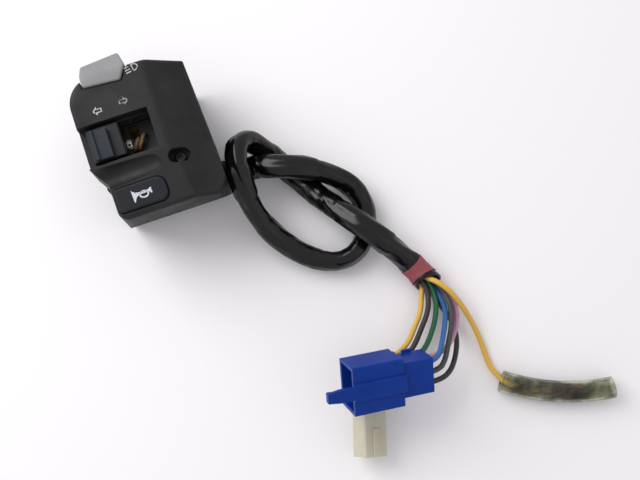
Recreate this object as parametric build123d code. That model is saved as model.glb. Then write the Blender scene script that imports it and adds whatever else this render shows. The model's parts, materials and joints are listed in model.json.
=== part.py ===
from build123d import *
import os
from math import atan2, cos, pi, radians, sin, sqrt, tan

# Left-hand handlebar switch cluster, in millimetres.
# The origin is the centre of the handlebar bore. +X runs along the bar to the inboard side,
# +Y runs up the switch face and +Z points out of it. The cluster lies on its flat back.

# Handlebar and the clearances that every sub-part shares
bar_diameter = 22.2
bar_gap = 0.05
running_gap = 0.3
pin_gap = 0.05
hole_gap = 0.05
overrun = 8.0

# Housing outline, seen on the switch face
outboard_x = -24.4
horn_side_x = -19.2
inboard_x = 24.4
top_y = 30.0
bottom_y = -29.0
step_top_y = -6.0
step_bottom_y = -13.6
inboard_top_drop = 1.6
inboard_lean = 1.7
inboard_lean_y = -9.0
inboard_cut_width = 4.0
inboard_cut_height = 6.4
horn_corner_radius = 4.2
top_corner_radius = 11.0
top_right_radius = 1.2
plan_radius = 2.0

# Housing section
wall = 2.2
face_z = 28.0
back_z = -16.0
shoulder_z = 10.0
side_taper = 14.0
back_round = 5.0
slope_start_x = 8.5
inboard_face_z = 16.0
lower_face_y = -7.0
lower_face_drop = 2.2
edge_round = 1.0
lower_edge_round = 1.8
crease_round = 7.0
kink_round = 15.0
lean_round = 40.0
valley_radius = 4.5
valley_y = -11.6
valley_lift = 0.8
valley_end_lift = 2.4
valley_end_x = -0.5

# Clamp screws that pull the two shells together round the bar
clamp_screw_radius = 2.5
clamp_head_radius = 4.0
clamp_head_height = 3.0
clamp_head_sink = 1.2
clamp_boss_wall = 1.7
upper_screw_x = 15.0
lower_screw_x = -8.0
clamp_screw_y = 16.4
lower_boss_top_z = 8.2
clamp_thread_length = 7.6
web_thickness = 2.0
rib_thickness = 2.4
rib_x = 8.0

# Turn signal slider, its window and its recess
window_left_x = -21.6
window_right_x = 4.0
window_bottom_y = -4.5
window_top_y = 10.0
recess_depth = 5.5
recess_bottom_y = -5.9
recess_top_y = 10.8
recess_floor = 1.6
tray_wall = 1.2
slider_left_x = -21.9
slider_length = 13.2
slider_top_z = 26.0
slider_flange_depth = 1.2
slider_flange_height = 1.3
slider_travel = 10.6
pad_left_x = -20.0
pad_length = 6.6
pad_bottom_y = -4.2
pad_top_y = 7.8
pad_top_z = 30.0
pad_ridge = 1.1
pad_round = 0.6

# Turn signal base, contacts and detent
base_clear_of_bar = 1.0
base_floor = 1.8
base_wall = 2.4
base_right_x = 5.2
stem_left_x = -17.7
stem_length = 5.2
stem_bottom_y = 4.6
stem_width = 4.6
bridge_thickness = 0.8
contact_height = 0.9
contact_length = 3.4
detent_ball_radius = 1.5
detent_notch_radius = 1.7
detent_spring_radius = 1.2
detent_spring_wire = 0.35
detent_shares = (0, 0.5, 1)
lug_radius = 3.4
small_screw_radius = 1.2
small_head_radius = 2.1
small_head_height = 1.2
small_boss_radius = 2.2
small_screw_length = 6.0
base_screw_right = (7.6, 10.2)
base_screw_left = (-14.6, -10.2)

# Wires and a tinned tag that show in the slider's window
window_wire_radius = 0.8
window_wire_rise = 3.2
window_wire_feet = (((-4.0, -0.8), (-0.8, 4.4)), ((-5.9, -0.6), (-3.3, 3.4)))
window_tag = (-7.6, 2.6)
window_tag_width = 2.0
window_tag_height = 3.0
window_tag_thickness = 0.5

# Oblong pocket in the face with the switch base screw
pocket_x = 10.2
pocket_y = -11.2
pocket_length = 8.7
pocket_width = 5.8
pocket_floor_z = 21.2
pocket_wall = 1.2
base_screw_radius = 1.5
base_screw_head_radius = 2.3
base_screw_head_height = 1.5

# Dimmer rocker
knob_left_x = -17.3
knob_right_x = 1.0
knob_inner_right_x = -2.4
knob_inner_y = 24.5
knob_inner_rise = 1.2
knob_shoulder_y = 30.0
knob_outer_y = 34.5
knob_outer_rise = 1.5
knob_crown_round = 10.0
knob_lean = 1.3
knob_top_z = 29.1
knob_round = 1.2
knob_skirt_z = 20.4
knob_travel = 14.0
dimmer_pin_y = 21.0
dimmer_pin_z = 17.0
dimmer_pin_radius = 1.25
dimmer_hub_radius = 3.0
cheek_thickness = 2.2
ear_thickness = 2.0
ear_radius = 3.2
plunger_x = -8.4
plunger_radius = 1.2
plunger_length = 3.6
plunger_reach = 8.6
plunger_tube_wall = 0.9
plunger_tube_end = 6.4
see_saw_tilt = 5.0
see_saw_thickness = 0.8
see_saw_half_length = 4.2
see_saw_width = 4.4
fulcrum_height = 1.8
dimmer_floor = 1.8
dimmer_base_front_y = 14.4
dimmer_base_back_y = 25.9
dimmer_boss_left_x = -19.6
dimmer_boss_right_x = 3.4
dimmer_boss_y = 17.2

# Horn button and its contacts
well_left_x = -18.4
well_right_x = 2.3
well_bottom_y = -26.6
well_top_y = -16.4
well_corner = 3.6
well_left_corner = 1.9
well_floor_z = 20.9
well_wall = 1.4
horn_proud = 1.1
horn_skin = 1.5
horn_flange = 1.2
horn_flange_height = 1.2
horn_round = 0.7
horn_travel = 2.5
horn_floor_z = 8.6
horn_floor = 1.8
horn_post_radius = 1.6
horn_post_reach = 5.6
horn_strip_half_width = 3.6
horn_strip_thickness = 0.7
horn_strip_gap = 0.4
horn_pad_height = 0.7
horn_spring_radius = 2.9
horn_spring_wire = 0.6
horn_pillar_radius = 1.8
horn_pillar_height = 6.0
horn_boss_right = (6.6, -22.4)
horn_boss_left = (-1.4, -12.3)

# Harness exit through the inboard wall of the rear shell
exit_y = -16.5
exit_z = -5.4
sleeve_radius = 4.8
grommet_flange_radius = 5.8
grommet_flange = 1.6
grommet_neck_radius = 4.6
grommet_bore_radius = 3.7
slot_gap = 0.1

# Wires
wire_radius = 1.1
loom_ring_radius = 2.66
inner_wire_spread = 1.5
band_length = 9.0
band_back = 3.2
band_thickness = 0.25

# Open mouth of the sleeve, cut off on the slant
mouth_radius = 3.9
mouth_flare = 0.4
mouth_depth = 6.5
mouth_back = 1.5
mouth_slant = (-0.31, 0.42, 1.0)

# Blue connector, mating face at its own origin
blue_place = (42.7, -115.68, 11.65)
blue_turn = (25.7, 15.2, -6.9)
blue_shroud_length = 20.6
blue_shroud_width = 19.65
blue_shroud_height = 14.7
blue_shroud_wall = 1.5
blue_cavity_depth = 13.5
blue_rear_length = 13.2
blue_rear_width = 14.4
blue_rear_height = 11.45
blue_rail_width = 6.8
blue_rail_height = 0.9
blue_tongue_reach = 10.6
blue_tongue_width = 5.1
blue_tongue_tip_width = 3.8
blue_tongue_thickness = 1.8
blue_pin_pitch = 4.2
blue_row_height = 2.6
blue_tab_reach = 7.0
blue_tab_width = 2.2
blue_tab_thickness = 0.8
blue_side_step = 0.6
blue_lug_start = 4.5
blue_lug_length = 4.0
blue_lug_reach = 1.2
wire_hole_radius = 1.6
wire_hole_depth = 4.0

# Natural nylon connector, mating face at its own origin
natural_place = (43.15, -143.98, -9.39)
natural_turn = (32.0, -4.0, 72.9)
natural_length = 28.0
natural_width = 10.6
natural_height = 9.0
natural_rib_width = 3.0
natural_rib_height = 0.7
natural_pitch = 4.2
natural_cell_width = 3.2
natural_cell_share = 0.4
natural_collar_length = 9.0
natural_collar_inset = 0.6
natural_round = 0.7

# Clear bullet sleeve with its receptacle
bullet_points = ((103.4, -133.1), (124.9, -145.0), (145.5, -150.2))
bullet_radius = 4.4
bullet_wall = 0.8
receptacle_radius = 3.1
receptacle_bore = 2.0
receptacle_start_share = 0.34
receptacle_end_share = 0.72
bullet_wire_run = 10.5

bore_radius = bar_diameter / 2 + bar_gap
recess_floor_z = face_z - recess_depth
taper_drop = tan(radians(side_taper))


def flat_face(points):
    return make_face(Polyline(*points, close=True)).face()


def box_between(low, high):
    size = [b - a for a, b in zip(low, high)]
    middle = [(a + b) / 2 for a, b in zip(low, high)]
    return Pos(*middle) * Box(*size)


def rod_x(y, z, radius, x0, x1):
    return Pos((x0 + x1) / 2, y, z) * Rot(0, 90, 0) * Cylinder(radius, x1 - x0)


def rod_y(x, z, radius, y0, y1):
    return Pos(x, (y0 + y1) / 2, z) * Rot(90, 0, 0) * Cylinder(radius, y1 - y0)


def rod_z(x, y, radius, z0, z1):
    return Pos(x, y, (z0 + z1) / 2) * Cylinder(radius, z1 - z0)


def tube_z(x, y, outer, inner, z0, z1):
    return rod_z(x, y, outer, z0, z1) - rod_z(x, y, inner, z0 - overrun, z1 + overrun)


def prism_x(points, x0, x1):
    face = flat_face([(x0, y, z) for y, z in points])
    return extrude(face, amount=x1 - x0, dir=(1, 0, 0))


def prism_z(points, z0, z1, radius=0):
    face = flat_face([(x, y, z0) for x, y in points])
    if radius:
        face = face.fillet_2d(radius, face.vertices())
    return extrude(face, amount=z1 - z0, dir=(0, 0, 1))


def screw(shaft_radius, length, head_radius, head_height):
    # Pan head at the origin with its seat on z = 0, the shaft runs down -Z, a cross recess on top
    head = Pos(0, 0, head_height / 2) * Cylinder(head_radius, head_height)
    head = fillet(head.edges().sort_by(Axis.Z)[-1], head_height * 0.45)
    shaft = Pos(0, 0, -length / 2) * Cylinder(shaft_radius, length)
    slot = Pos(0, 0, head_height) * Box(head_radius * 1.1, head_radius * 0.28, head_height)
    return head + shaft - slot - Rot(0, 0, 90) * slot


# Housing forms


def plan_face(inset):
    top_right = (inboard_x - inboard_lean, top_y - inboard_top_drop)
    points = [
        (horn_side_x, bottom_y),
        (inboard_x - inboard_cut_width, bottom_y),
        (inboard_x, bottom_y + inboard_cut_height),
        (inboard_x, inboard_lean_y),
        top_right,
        (slope_start_x, top_y),
        (outboard_x, top_y),
        (outboard_x, step_top_y),
        (horn_side_x, step_bottom_y),
    ]
    face = flat_face(points)
    rounds = {
        (outboard_x, top_y): top_corner_radius,
        (horn_side_x, bottom_y): horn_corner_radius,
        top_right: top_right_radius,
        (inboard_x - inboard_cut_width, bottom_y): plan_radius,
        (outboard_x, step_top_y): plan_radius,
        (horn_side_x, step_bottom_y): plan_radius,
        (slope_start_x, top_y): kink_round,
        (inboard_x, inboard_lean_y): lean_round,
    }
    for place, radius in rounds.items():
        face = face.fillet_2d(radius, [face.vertices().sort_by_distance(place)[0]])
    if inset:
        return offset(face, amount=-inset)
    return face


def side_face(inset):
    drop = (shoulder_z - back_z) * taper_drop
    points = [
        (bottom_y, shoulder_z),
        (bottom_y, face_z + overrun),
        (top_y, face_z + overrun),
        (top_y, shoulder_z),
        (top_y - drop, back_z),
        (bottom_y + drop, back_z),
    ]
    face = flat_face([(outboard_x - overrun, y, z) for y, z in points])
    for place in (points[4], points[5]):
        spot = (outboard_x - overrun, place[0], place[1])
        face = face.fillet_2d(back_round, [face.vertices().sort_by_distance(spot)[0]])
    if inset:
        return offset(face, amount=-inset)
    return face


def slope_cutter(inset):
    fall = atan2(face_z - inboard_face_z, inboard_x - slope_start_x)
    plane = Plane(
        origin=(slope_start_x, 0, face_z),
        x_dir=(cos(fall), 0, -sin(fall)),
        z_dir=(sin(fall), 0, cos(fall)),
    )
    reach = 4 * (top_y - bottom_y)
    return plane * Pos(0, 0, reach / 2 - inset) * Box(reach, reach, reach)


def lower_face_cutter(inset):
    fall = atan2(lower_face_drop, lower_face_y - bottom_y)
    plane = Plane(
        origin=(0, lower_face_y, face_z),
        x_dir=(1, 0, 0),
        z_dir=(0, -sin(fall), cos(fall)),
    )
    reach = 4 * (top_y - bottom_y)
    return plane * Pos(0, 0, reach / 2 - inset) * Box(reach, reach, reach)


def valley_cutter(inset):
    # The thumb groove runs out shallower towards the middle of the face
    radius = valley_radius + inset
    end = Vector(valley_end_x, valley_y, face_z + valley_end_lift)
    start = Vector(outboard_x, valley_y, face_z - valley_lift)
    start += (start - end).normalized() * overrun
    groove = Plane(origin=start, z_dir=end - start) * rod_z(0, 0, radius, 0, (end - start).length)
    return groove + Pos(end) * Sphere(radius)


def rim_edges(form):
    # The edges where the face and its slope meet the upright walls
    walls = [f for f in form.faces() if abs(f.normal_at().Z) < edge_round / 20]
    return [e for f in walls for e in f.edges() if e.bounding_box().min.Z > shoulder_z + edge_round]


def housing_form(inset, rounded=False):
    plan = Pos(0, 0, back_z + inset) * plan_face(inset)
    block = extrude(plan, amount=face_z - back_z - 2 * inset, dir=(0, 0, 1))
    sides = extrude(side_face(inset), amount=inboard_x - outboard_x + 2 * overrun, dir=(1, 0, 0))
    form = block & sides
    form -= slope_cutter(inset)
    crease = [e for e in form.edges() if abs(e.center().X - slope_start_x) < plan_radius
              and e.center().Z > shoulder_z + overrun and e.length > top_y]
    form = fillet(crease, crease_round - inset)
    form -= lower_face_cutter(inset)
    if rounded:
        lower = [e for e in rim_edges(form) if e.center().Y < bottom_y + edge_round / 2]
        form = fillet(lower, lower_edge_round)
        form = fillet(rim_edges(form), edge_round)
    return form - valley_cutter(inset)


def bore_rod():
    return rod_x(0, 0, bore_radius, outboard_x - overrun, inboard_x + overrun)


def half_space(front):
    reach = 4 * (top_y - bottom_y)
    return Pos(0, 0, reach / 2 if front else -reach / 2) * Box(reach, reach, reach)


# Front shell


def window_cutter():
    low = (window_left_x, window_bottom_y, recess_floor_z - recess_floor - overrun)
    return box_between(low, (window_right_x, window_top_y, face_z + overrun))


def recess_cutter():
    low = (outboard_x - overrun, recess_bottom_y, recess_floor_z)
    return box_between(low, (window_right_x, recess_top_y, face_z + overrun))


def recess_tray():
    low = (outboard_x, recess_bottom_y - tray_wall, recess_floor_z - recess_floor)
    high = (window_right_x + tray_wall, recess_top_y + tray_wall, face_z)
    return box_between(low, high)


def well_points(grow):
    return [
        (well_left_x - grow, well_bottom_y - grow),
        (well_right_x + grow, well_bottom_y - grow),
        (well_right_x + grow, well_top_y + grow),
        (well_left_x - grow, well_top_y + grow),
    ]


def well_prism(grow, z0, z1):
    points = well_points(grow)
    face = flat_face([(x, y, z0) for x, y in points])
    right = [v for v in face.vertices() if v.X > (well_left_x + well_right_x) / 2]
    left = [v for v in face.vertices() if v.X < (well_left_x + well_right_x) / 2]
    face = face.fillet_2d(well_corner + grow, right)
    corners = [v for v in face.vertices() if v.X < well_left_x - grow + 0.5 * wall]
    face = face.fillet_2d(well_left_corner + grow, corners)
    return extrude(face, amount=z1 - z0, dir=(0, 0, 1))


def pocket_prism(grow, z0, z1):
    half = (pocket_length - pocket_width) / 2
    ends = rod_z(pocket_x - half, pocket_y, pocket_width / 2 + grow, z0, z1)
    ends += rod_z(pocket_x + half, pocket_y, pocket_width / 2 + grow, z0, z1)
    low = (pocket_x - half, pocket_y - pocket_width / 2 - grow, z0)
    return ends + box_between(low, (pocket_x + half, pocket_y + pocket_width / 2 + grow, z1))


def knob_opening():
    low = (knob_left_x - 2 * running_gap, knob_inner_y - 2 * running_gap, dimmer_pin_z - wall / 2)
    high = (knob_right_x + 2 * running_gap, top_y + overrun, face_z + overrun)
    return box_between(low, high)


def knob_slope_fill():
    # The face beside the knob follows its slanting right flank and its slanting lower edge
    gap = 2 * running_gap
    flank = [
        (knob_inner_right_x + gap, knob_inner_y - gap),
        (knob_right_x + gap, knob_shoulder_y - gap),
        (knob_right_x + gap, knob_inner_y - gap),
    ]
    edge = [
        (knob_left_x - gap, knob_inner_y - gap),
        (knob_left_x - gap, knob_inner_y + knob_inner_rise - gap),
        (knob_inner_right_x, knob_inner_y - gap),
    ]
    return prism_z(flank, face_z - wall, face_z) + prism_z(edge, face_z - wall, face_z)


def dimmer_ears():
    outer_left = knob_left_x + cheek_gap_left() - running_gap
    ears = []
    for x0 in (outer_left - ear_thickness, cheek_right_x() + running_gap):
        hub = rod_x(dimmer_pin_y, dimmer_pin_z, ear_radius, x0, x0 + ear_thickness)
        strap = box_between(
            (x0, dimmer_pin_y - ear_radius, dimmer_pin_z),
            (x0 + ear_thickness, dimmer_pin_y + ear_radius, face_z - wall / 2),
        )
        hole = rod_x(dimmer_pin_y, dimmer_pin_z, dimmer_pin_radius + pin_gap, x0 - overrun, x0 + overrun)
        ears.append(hub + strap - hole)
    return ears[0] + ears[1]


def cheek_gap_left():
    return 1.2 * ear_thickness


def cheek_right_x():
    return knob_inner_right_x - ear_thickness / 2


def pillar(place, bottom_z, radius):
    return rod_z(place[0], place[1], radius, bottom_z, face_z)


def front_bosses():
    bosses = pillar((upper_screw_x, clamp_screw_y), 0, clamp_screw_radius + clamp_boss_wall)
    lower = (lower_screw_x, -clamp_screw_y)
    stub = rod_z(*lower, clamp_screw_radius + clamp_boss_wall, 0, lower_boss_top_z)
    web = box_between(
        (lower_screw_x - web_thickness / 2, bottom_y, 0),
        (lower_screw_x + web_thickness / 2, -clamp_screw_y, lower_boss_top_z),
    )
    bosses += stub + web
    for place in (base_screw_right, base_screw_left):
        bosses += pillar(place, turn_floor_top(), small_boss_radius)
    for x in (dimmer_boss_left_x, dimmer_boss_right_x):
        bosses += pillar((x, dimmer_boss_y), dimmer_floor_top(), small_boss_radius)
    for place in (horn_boss_right, horn_boss_left):
        bosses += pillar(place, horn_floor_z + horn_floor, small_boss_radius)
    return bosses


def small_pilots():
    depth = small_screw_length + hole_gap
    radius = small_screw_radius + hole_gap
    pilots = [rod_z(*p, radius, turn_floor_top() - overrun, turn_floor_top() + depth)
              for p in (base_screw_right, base_screw_left)]
    pilots += [rod_z(x, dimmer_boss_y, radius, dimmer_floor_top() - overrun, dimmer_floor_top() + depth)
               for x in (dimmer_boss_left_x, dimmer_boss_right_x)]
    top = horn_floor_z + horn_floor
    pilots += [rod_z(*p, radius, top - overrun, top + depth) for p in (horn_boss_right, horn_boss_left)]
    return pilots


def clamp_places():
    return ((upper_screw_x, clamp_screw_y), (lower_screw_x, -clamp_screw_y))


def front_shell():
    outer = housing_form(0, rounded=True)
    shell = outer - housing_form(wall)
    extra = recess_tray() + well_prism(well_wall, well_floor_z, face_z)
    extra += pocket_prism(pocket_wall, pocket_floor_z - pocket_wall, face_z)
    extra += front_bosses() + dimmer_ears()
    shell += extra & outer
    shell &= half_space(True)
    shell -= bore_rod()
    shell -= recess_cutter()
    shell -= window_cutter()
    shell -= well_prism(0, horn_flange_bottom() - horn_travel - running_gap, face_z + overrun)
    shell -= pocket_prism(0, pocket_floor_z, face_z + overrun)
    shell -= rod_z(pocket_x, pocket_y, base_screw_radius + running_gap, 0, face_z)
    shell -= knob_opening() - knob_slope_fill()
    shell -= carriage_way()
    for place in clamp_places():
        shell -= rod_z(*place, clamp_screw_radius + hole_gap, -overrun, clamp_thread_length + hole_gap)
    for pilot in small_pilots():
        shell -= pilot
    return shell


def carriage_way():
    # Room for the slider's flanges under the recess floor, from the outboard wall inwards
    top = recess_floor_z - recess_floor
    side = slider_flange_depth + running_gap
    low = (slider_left_x - running_gap, window_bottom_y - side, turn_floor_top())
    high = (window_right_x + tray_wall, window_top_y + side, top)
    return box_between(low, high)


# Rear shell


def rear_shell():
    shell = housing_form(0) - housing_form(wall)
    outer = housing_form(0)
    reach = bore_radius + wall
    half = rib_thickness / 2
    for x in (-rib_x, rib_x):
        shell += box_between((x - half, -reach, back_z), (x + half, reach, -rib_thickness)) & outer
    for place in clamp_places():
        boss = rod_z(*place, clamp_screw_radius + clamp_boss_wall, back_z, 0)
        boss += rod_z(*place, clamp_head_radius + hole_gap + wall / 2, back_z, clamp_seat_z() + wall)
        shell += boss & outer
    shell &= half_space(False)
    shell -= bore_rod()
    for place in clamp_places():
        shell -= rod_z(*place, clamp_screw_radius + hole_gap, back_z - overrun, overrun)
        shell -= rod_z(*place, clamp_head_radius + hole_gap, back_z - overrun, clamp_seat_z())
    half = grommet_neck_radius + slot_gap
    slot = rod_x(exit_y, exit_z, half, inboard_x - overrun, inboard_x + overrun)
    low = (inboard_x - overrun, exit_y - half, exit_z)
    slot += box_between(low, (inboard_x + overrun, exit_y + half, overrun))
    return shell - slot


def clamp_seat_z():
    return back_z + clamp_head_sink + clamp_head_height


def clamp_screws():
    length = clamp_thread_length - clamp_seat_z()
    body = Rot(180, 0, 0) * screw(clamp_screw_radius, length, clamp_head_radius, clamp_head_height)
    return Compound([Pos(x, y, clamp_seat_z()) * body for x, y in clamp_places()])


def harness_grommet():
    inner_x = inboard_x - wall
    outside = rod_x(exit_y, exit_z, grommet_flange_radius, inboard_x, inboard_x + grommet_flange)
    inside = rod_x(exit_y, exit_z, grommet_flange_radius, inner_x - grommet_flange, inner_x)
    inside &= housing_form(wall + slot_gap) & half_space(False)
    neck = rod_x(exit_y, exit_z, grommet_neck_radius, inner_x - grommet_flange, inboard_x)
    bore = rod_x(exit_y, exit_z, grommet_bore_radius, inner_x - overrun, inboard_x + overrun)
    outside = fillet(outside.edges().filter_by(GeomType.CIRCLE).sort_by(Axis.X)[-1], grommet_flange / 3)
    return outside + neck + inside - bore


# Turn signal switch


def turn_floor_bottom():
    return bore_radius + base_clear_of_bar


def turn_floor_top():
    return turn_floor_bottom() + base_floor


def flange_top():
    return recess_floor_z - recess_floor - running_gap


def guide_top():
    return flange_top() - slider_flange_height - running_gap


def contact_top():
    return turn_floor_top() + contact_height


def bridge_bottom():
    return contact_top() + running_gap


def stem_middle_y():
    return stem_bottom_y + stem_width / 2


def detent_places():
    first = stem_left_x + stem_length / 2
    return [first + share * slider_travel for share in detent_shares]


def turn_base():
    y0 = window_bottom_y - slider_flange_depth - running_gap - wall / 2
    y1 = window_top_y + slider_flange_depth + running_gap + wall / 2
    x0 = slider_left_x + running_gap
    floor_plate = box_between((x0, y0, turn_floor_bottom()), (base_right_x, y1, turn_floor_top()))
    body = floor_plate
    for low, high in ((y0, y0 + base_wall), (y1 - base_wall, y1)):
        body += box_between((x0, low, turn_floor_top()), (base_right_x, high, guide_top()))
    for place in (base_screw_right, base_screw_left):
        body += rod_z(*place, small_boss_radius, turn_floor_bottom(), turn_floor_top())
    x, y = base_screw_right
    body += box_between(
        (base_right_x - wall, y - small_boss_radius, turn_floor_bottom()),
        (x, y + small_boss_radius, turn_floor_top()),
    )
    x, y = base_screw_left
    body += box_between(
        (x - small_boss_radius, y, turn_floor_bottom()),
        (x + small_boss_radius, y0 + wall, turn_floor_top()),
    )
    body += rod_z(pocket_x, pocket_y, lug_radius, turn_floor_bottom(), lug_top_z())
    body += prism_z(
        [
            (base_right_x - wall, y0),
            (pocket_x, pocket_y - lug_radius),
            (pocket_x, pocket_y + lug_radius),
            (base_right_x - wall, pocket_y + 2 * lug_radius),
        ],
        turn_floor_bottom(),
        turn_floor_top(),
    )
    outer = housing_form(wall + running_gap)
    body &= outer
    body -= rod_z(pocket_x, pocket_y, base_screw_radius + hole_gap, lug_bore_z(), face_z)
    for place in (base_screw_right, base_screw_left):
        body -= rod_z(*place, small_screw_radius + hole_gap, 0, face_z)
    rail = y1 - base_wall
    groove_y = rail - detent_ball_radius + 2 * detent_dip()
    groove_radius = detent_ball_radius + pin_gap
    body -= rod_x(groove_y, detent_z(), groove_radius, x0 - overrun, base_right_x - wall)
    for x in detent_places():
        body -= Pos(x, rail - detent_ball_radius + 3 * detent_dip(), detent_z()) * Sphere(detent_notch_radius)
    return body


def detent_dip():
    return detent_ball_radius / 5


def detent_z():
    return bridge_bottom() + bridge_thickness + detent_ball_radius + pin_gap


def lug_top_z():
    return pocket_floor_z - pocket_wall


def lug_bore_z():
    return turn_floor_bottom() + base_floor / 2


def base_screw(floor):
    # A small screw, driven upwards through a base of this thickness
    length = small_screw_length + floor
    return Rot(180, 0, 0) * screw(small_screw_radius, length, small_head_radius, small_head_height)


def turn_base_screws():
    body = base_screw(base_floor)
    return Compound([Pos(x, y, turn_floor_bottom()) * body for x, y in (base_screw_right, base_screw_left)])


def switch_base_screw():
    length = pocket_floor_z - lug_bore_z() - hole_gap
    body = screw(base_screw_radius, length, base_screw_head_radius, base_screw_head_height)
    return Pos(pocket_x, pocket_y, pocket_floor_z) * body


def turn_fixed_contacts():
    pads = []
    for x in detent_places():
        pad = box_between(
            (x - contact_length / 2, stem_bottom_y, turn_floor_top()),
            (x + contact_length / 2, stem_bottom_y + stem_width, contact_top()),
        )
        pads.append(fillet(pad.edges().filter_by(Axis.Y).sort_by(Axis.Z)[-2:], contact_height / 3))
    return Compound(pads)


def turn_carriage():
    x0, x1 = slider_left_x, slider_left_x + slider_length
    gap = running_gap
    plate = box_between(
        (x0 + gap, window_bottom_y + gap, flange_top() - slider_flange_height),
        (x1, window_top_y - gap, slider_top_z),
    )
    plate = fillet(plate.edges().sort_by(Axis.Z)[-4:], pad_round)
    flange = box_between(
        (x0, window_bottom_y - slider_flange_depth, flange_top() - slider_flange_height),
        (x1, window_top_y + slider_flange_depth, flange_top()),
    )
    stem = box_between(
        (stem_left_x, stem_bottom_y, bridge_bottom() + bridge_thickness),
        (stem_left_x + stem_length, stem_bottom_y + stem_width, flange_top()),
    )
    pocket = rod_y(
        stem_left_x + stem_length / 2, detent_z(), detent_ball_radius + pin_gap,
        stem_middle_y() - stem_width / 4, stem_bottom_y + stem_width + overrun,
    )
    under = box_between(
        (x0 + wall, window_bottom_y + wall, flange_top() - slider_flange_height - overrun),
        (x1 - wall, window_top_y - wall, slider_top_z - wall),
    )
    rib = box_between(
        (stem_left_x, window_bottom_y + gap, flange_top() - slider_flange_height),
        (stem_left_x + stem_length, window_top_y - gap, slider_top_z - gap),
    )
    return (plate + flange - under) + rib + stem - pocket


def turn_knob():
    x0, x1 = pad_left_x, pad_left_x + pad_length
    pad = box_between((x0, pad_bottom_y, slider_top_z), (x1, pad_top_y, pad_top_z - pad_ridge))
    ridge = box_between((x0, pad_bottom_y, slider_top_z), (x0 + 1.2 * pad_ridge, pad_top_y, pad_top_z))
    pad = pad + ridge
    top = [e for e in pad.edges() if e.bounding_box().min.Z > slider_top_z + pad_round]
    return fillet(top, pad_ridge / 4)


def turn_contact_bridge():
    z0 = bridge_bottom()
    strip = box_between(
        (stem_left_x, stem_bottom_y, z0),
        (stem_left_x + stem_length, stem_bottom_y + stem_width, z0 + bridge_thickness),
    )
    return fillet(strip.edges().filter_by(Axis.Y).sort_by(Axis.Z)[:2], bridge_thickness / 3)


def detent_ball_y():
    rail = window_top_y + slider_flange_depth + running_gap + wall / 2 - base_wall
    return rail - detent_ball_radius + detent_dip()


def turn_detent_ball():
    return Pos(stem_left_x + stem_length / 2, detent_ball_y(), detent_z()) * Sphere(detent_ball_radius)


def turn_detent_spring():
    y0 = stem_middle_y() - stem_width / 4
    inner = detent_spring_radius - detent_spring_wire
    y1 = detent_ball_y() - sqrt(detent_ball_radius ** 2 - inner ** 2)
    x = stem_left_x + stem_length / 2
    spring = rod_y(x, detent_z(), detent_spring_radius, y0, y1)
    return spring - rod_y(x, detent_z(), inner, y0 - overrun, y1 + overrun)


# Dimmer switch


def knob_plan():
    return [
        (knob_left_x, knob_inner_y + knob_inner_rise),
        (knob_inner_right_x, knob_inner_y),
        (knob_right_x, knob_shoulder_y),
        (knob_right_x - knob_lean, knob_outer_y + knob_outer_rise),
        (knob_left_x + knob_lean, knob_outer_y),
        (knob_left_x, knob_shoulder_y),
    ]


def knob_side():
    rim_y = knob_outer_y + knob_outer_rise
    return [
        (knob_inner_y, knob_top_z - 0.4 * knob_round),
        (knob_shoulder_y, knob_top_z),
        (rim_y, knob_top_z - 2 * knob_round),
        (rim_y, knob_skirt_z + 2 * knob_round),
        (knob_shoulder_y + knob_round, knob_skirt_z),
        (knob_inner_y, knob_skirt_z - knob_round),
    ]


def dimmer_knob():
    plan = prism_z(knob_plan(), knob_skirt_z - overrun, knob_top_z + overrun, knob_round)
    side = prism_x(knob_side(), knob_left_x - overrun, knob_right_x + overrun)
    crown = side.edges().filter_by(Axis.X).group_by(Axis.Z)[-1]
    side = fillet(crown, knob_crown_round)
    cap = plan & side
    edges = [e for e in cap.edges() if e.bounding_box().min.Z > knob_top_z - 2.5 * knob_round]
    cap = fillet(edges, knob_round / 2)
    inside = prism_z(knob_plan(), knob_skirt_z - overrun, knob_top_z - wall, knob_round)
    low = (knob_left_x, knob_inner_y + wall, knob_skirt_z - overrun)
    high = (knob_right_x, knob_outer_y, knob_top_z - wall)
    cap -= offset(inside, amount=-wall / 1.5) & box_between(low, high)
    left = knob_left_x + cheek_gap_left()
    right = cheek_right_x()
    arm_points = [
        (dimmer_pin_y - dimmer_hub_radius / 2, dimmer_pin_z + dimmer_hub_radius * 0.86),
        (knob_inner_y + wall / 2, face_z - 2 * wall),
        (knob_inner_y + 2 * wall, knob_skirt_z + wall),
        (knob_inner_y + wall, knob_skirt_z - wall),
        (dimmer_pin_y + dimmer_hub_radius / 2, dimmer_pin_z - dimmer_hub_radius * 0.86),
    ]
    for x0 in (left, right - cheek_thickness):
        cap += prism_x(arm_points, x0, x0 + cheek_thickness)
        cap += rod_x(dimmer_pin_y, dimmer_pin_z, dimmer_hub_radius, x0, x0 + cheek_thickness)
    cap += rod_x(dimmer_pin_y, dimmer_pin_z, dimmer_hub_radius, left, right)
    cap += plunger_tube()
    cap -= rod_x(dimmer_pin_y, dimmer_pin_z, dimmer_pin_radius + pin_gap, left - overrun, right + overrun)
    bore_end = -plunger_tube_end - overrun
    cap -= plunger_frame() * rod_z(0, 0, plunger_radius + pin_gap, bore_end, -plunger_tube_roof())
    return cap


def plunger_tube_roof():
    return dimmer_pin_radius + pin_gap + plunger_tube_wall / 2


def plunger_frame():
    # Down from the pin, leaning half the knob's travel to the side that is pressed
    return Pos(plunger_x, dimmer_pin_y, dimmer_pin_z) * Rot(knob_travel / 2, 0, 0)


def plunger_tube():
    radius = plunger_radius + pin_gap + plunger_tube_wall
    return plunger_frame() * rod_z(0, 0, radius, -plunger_tube_end, 0)


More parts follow.
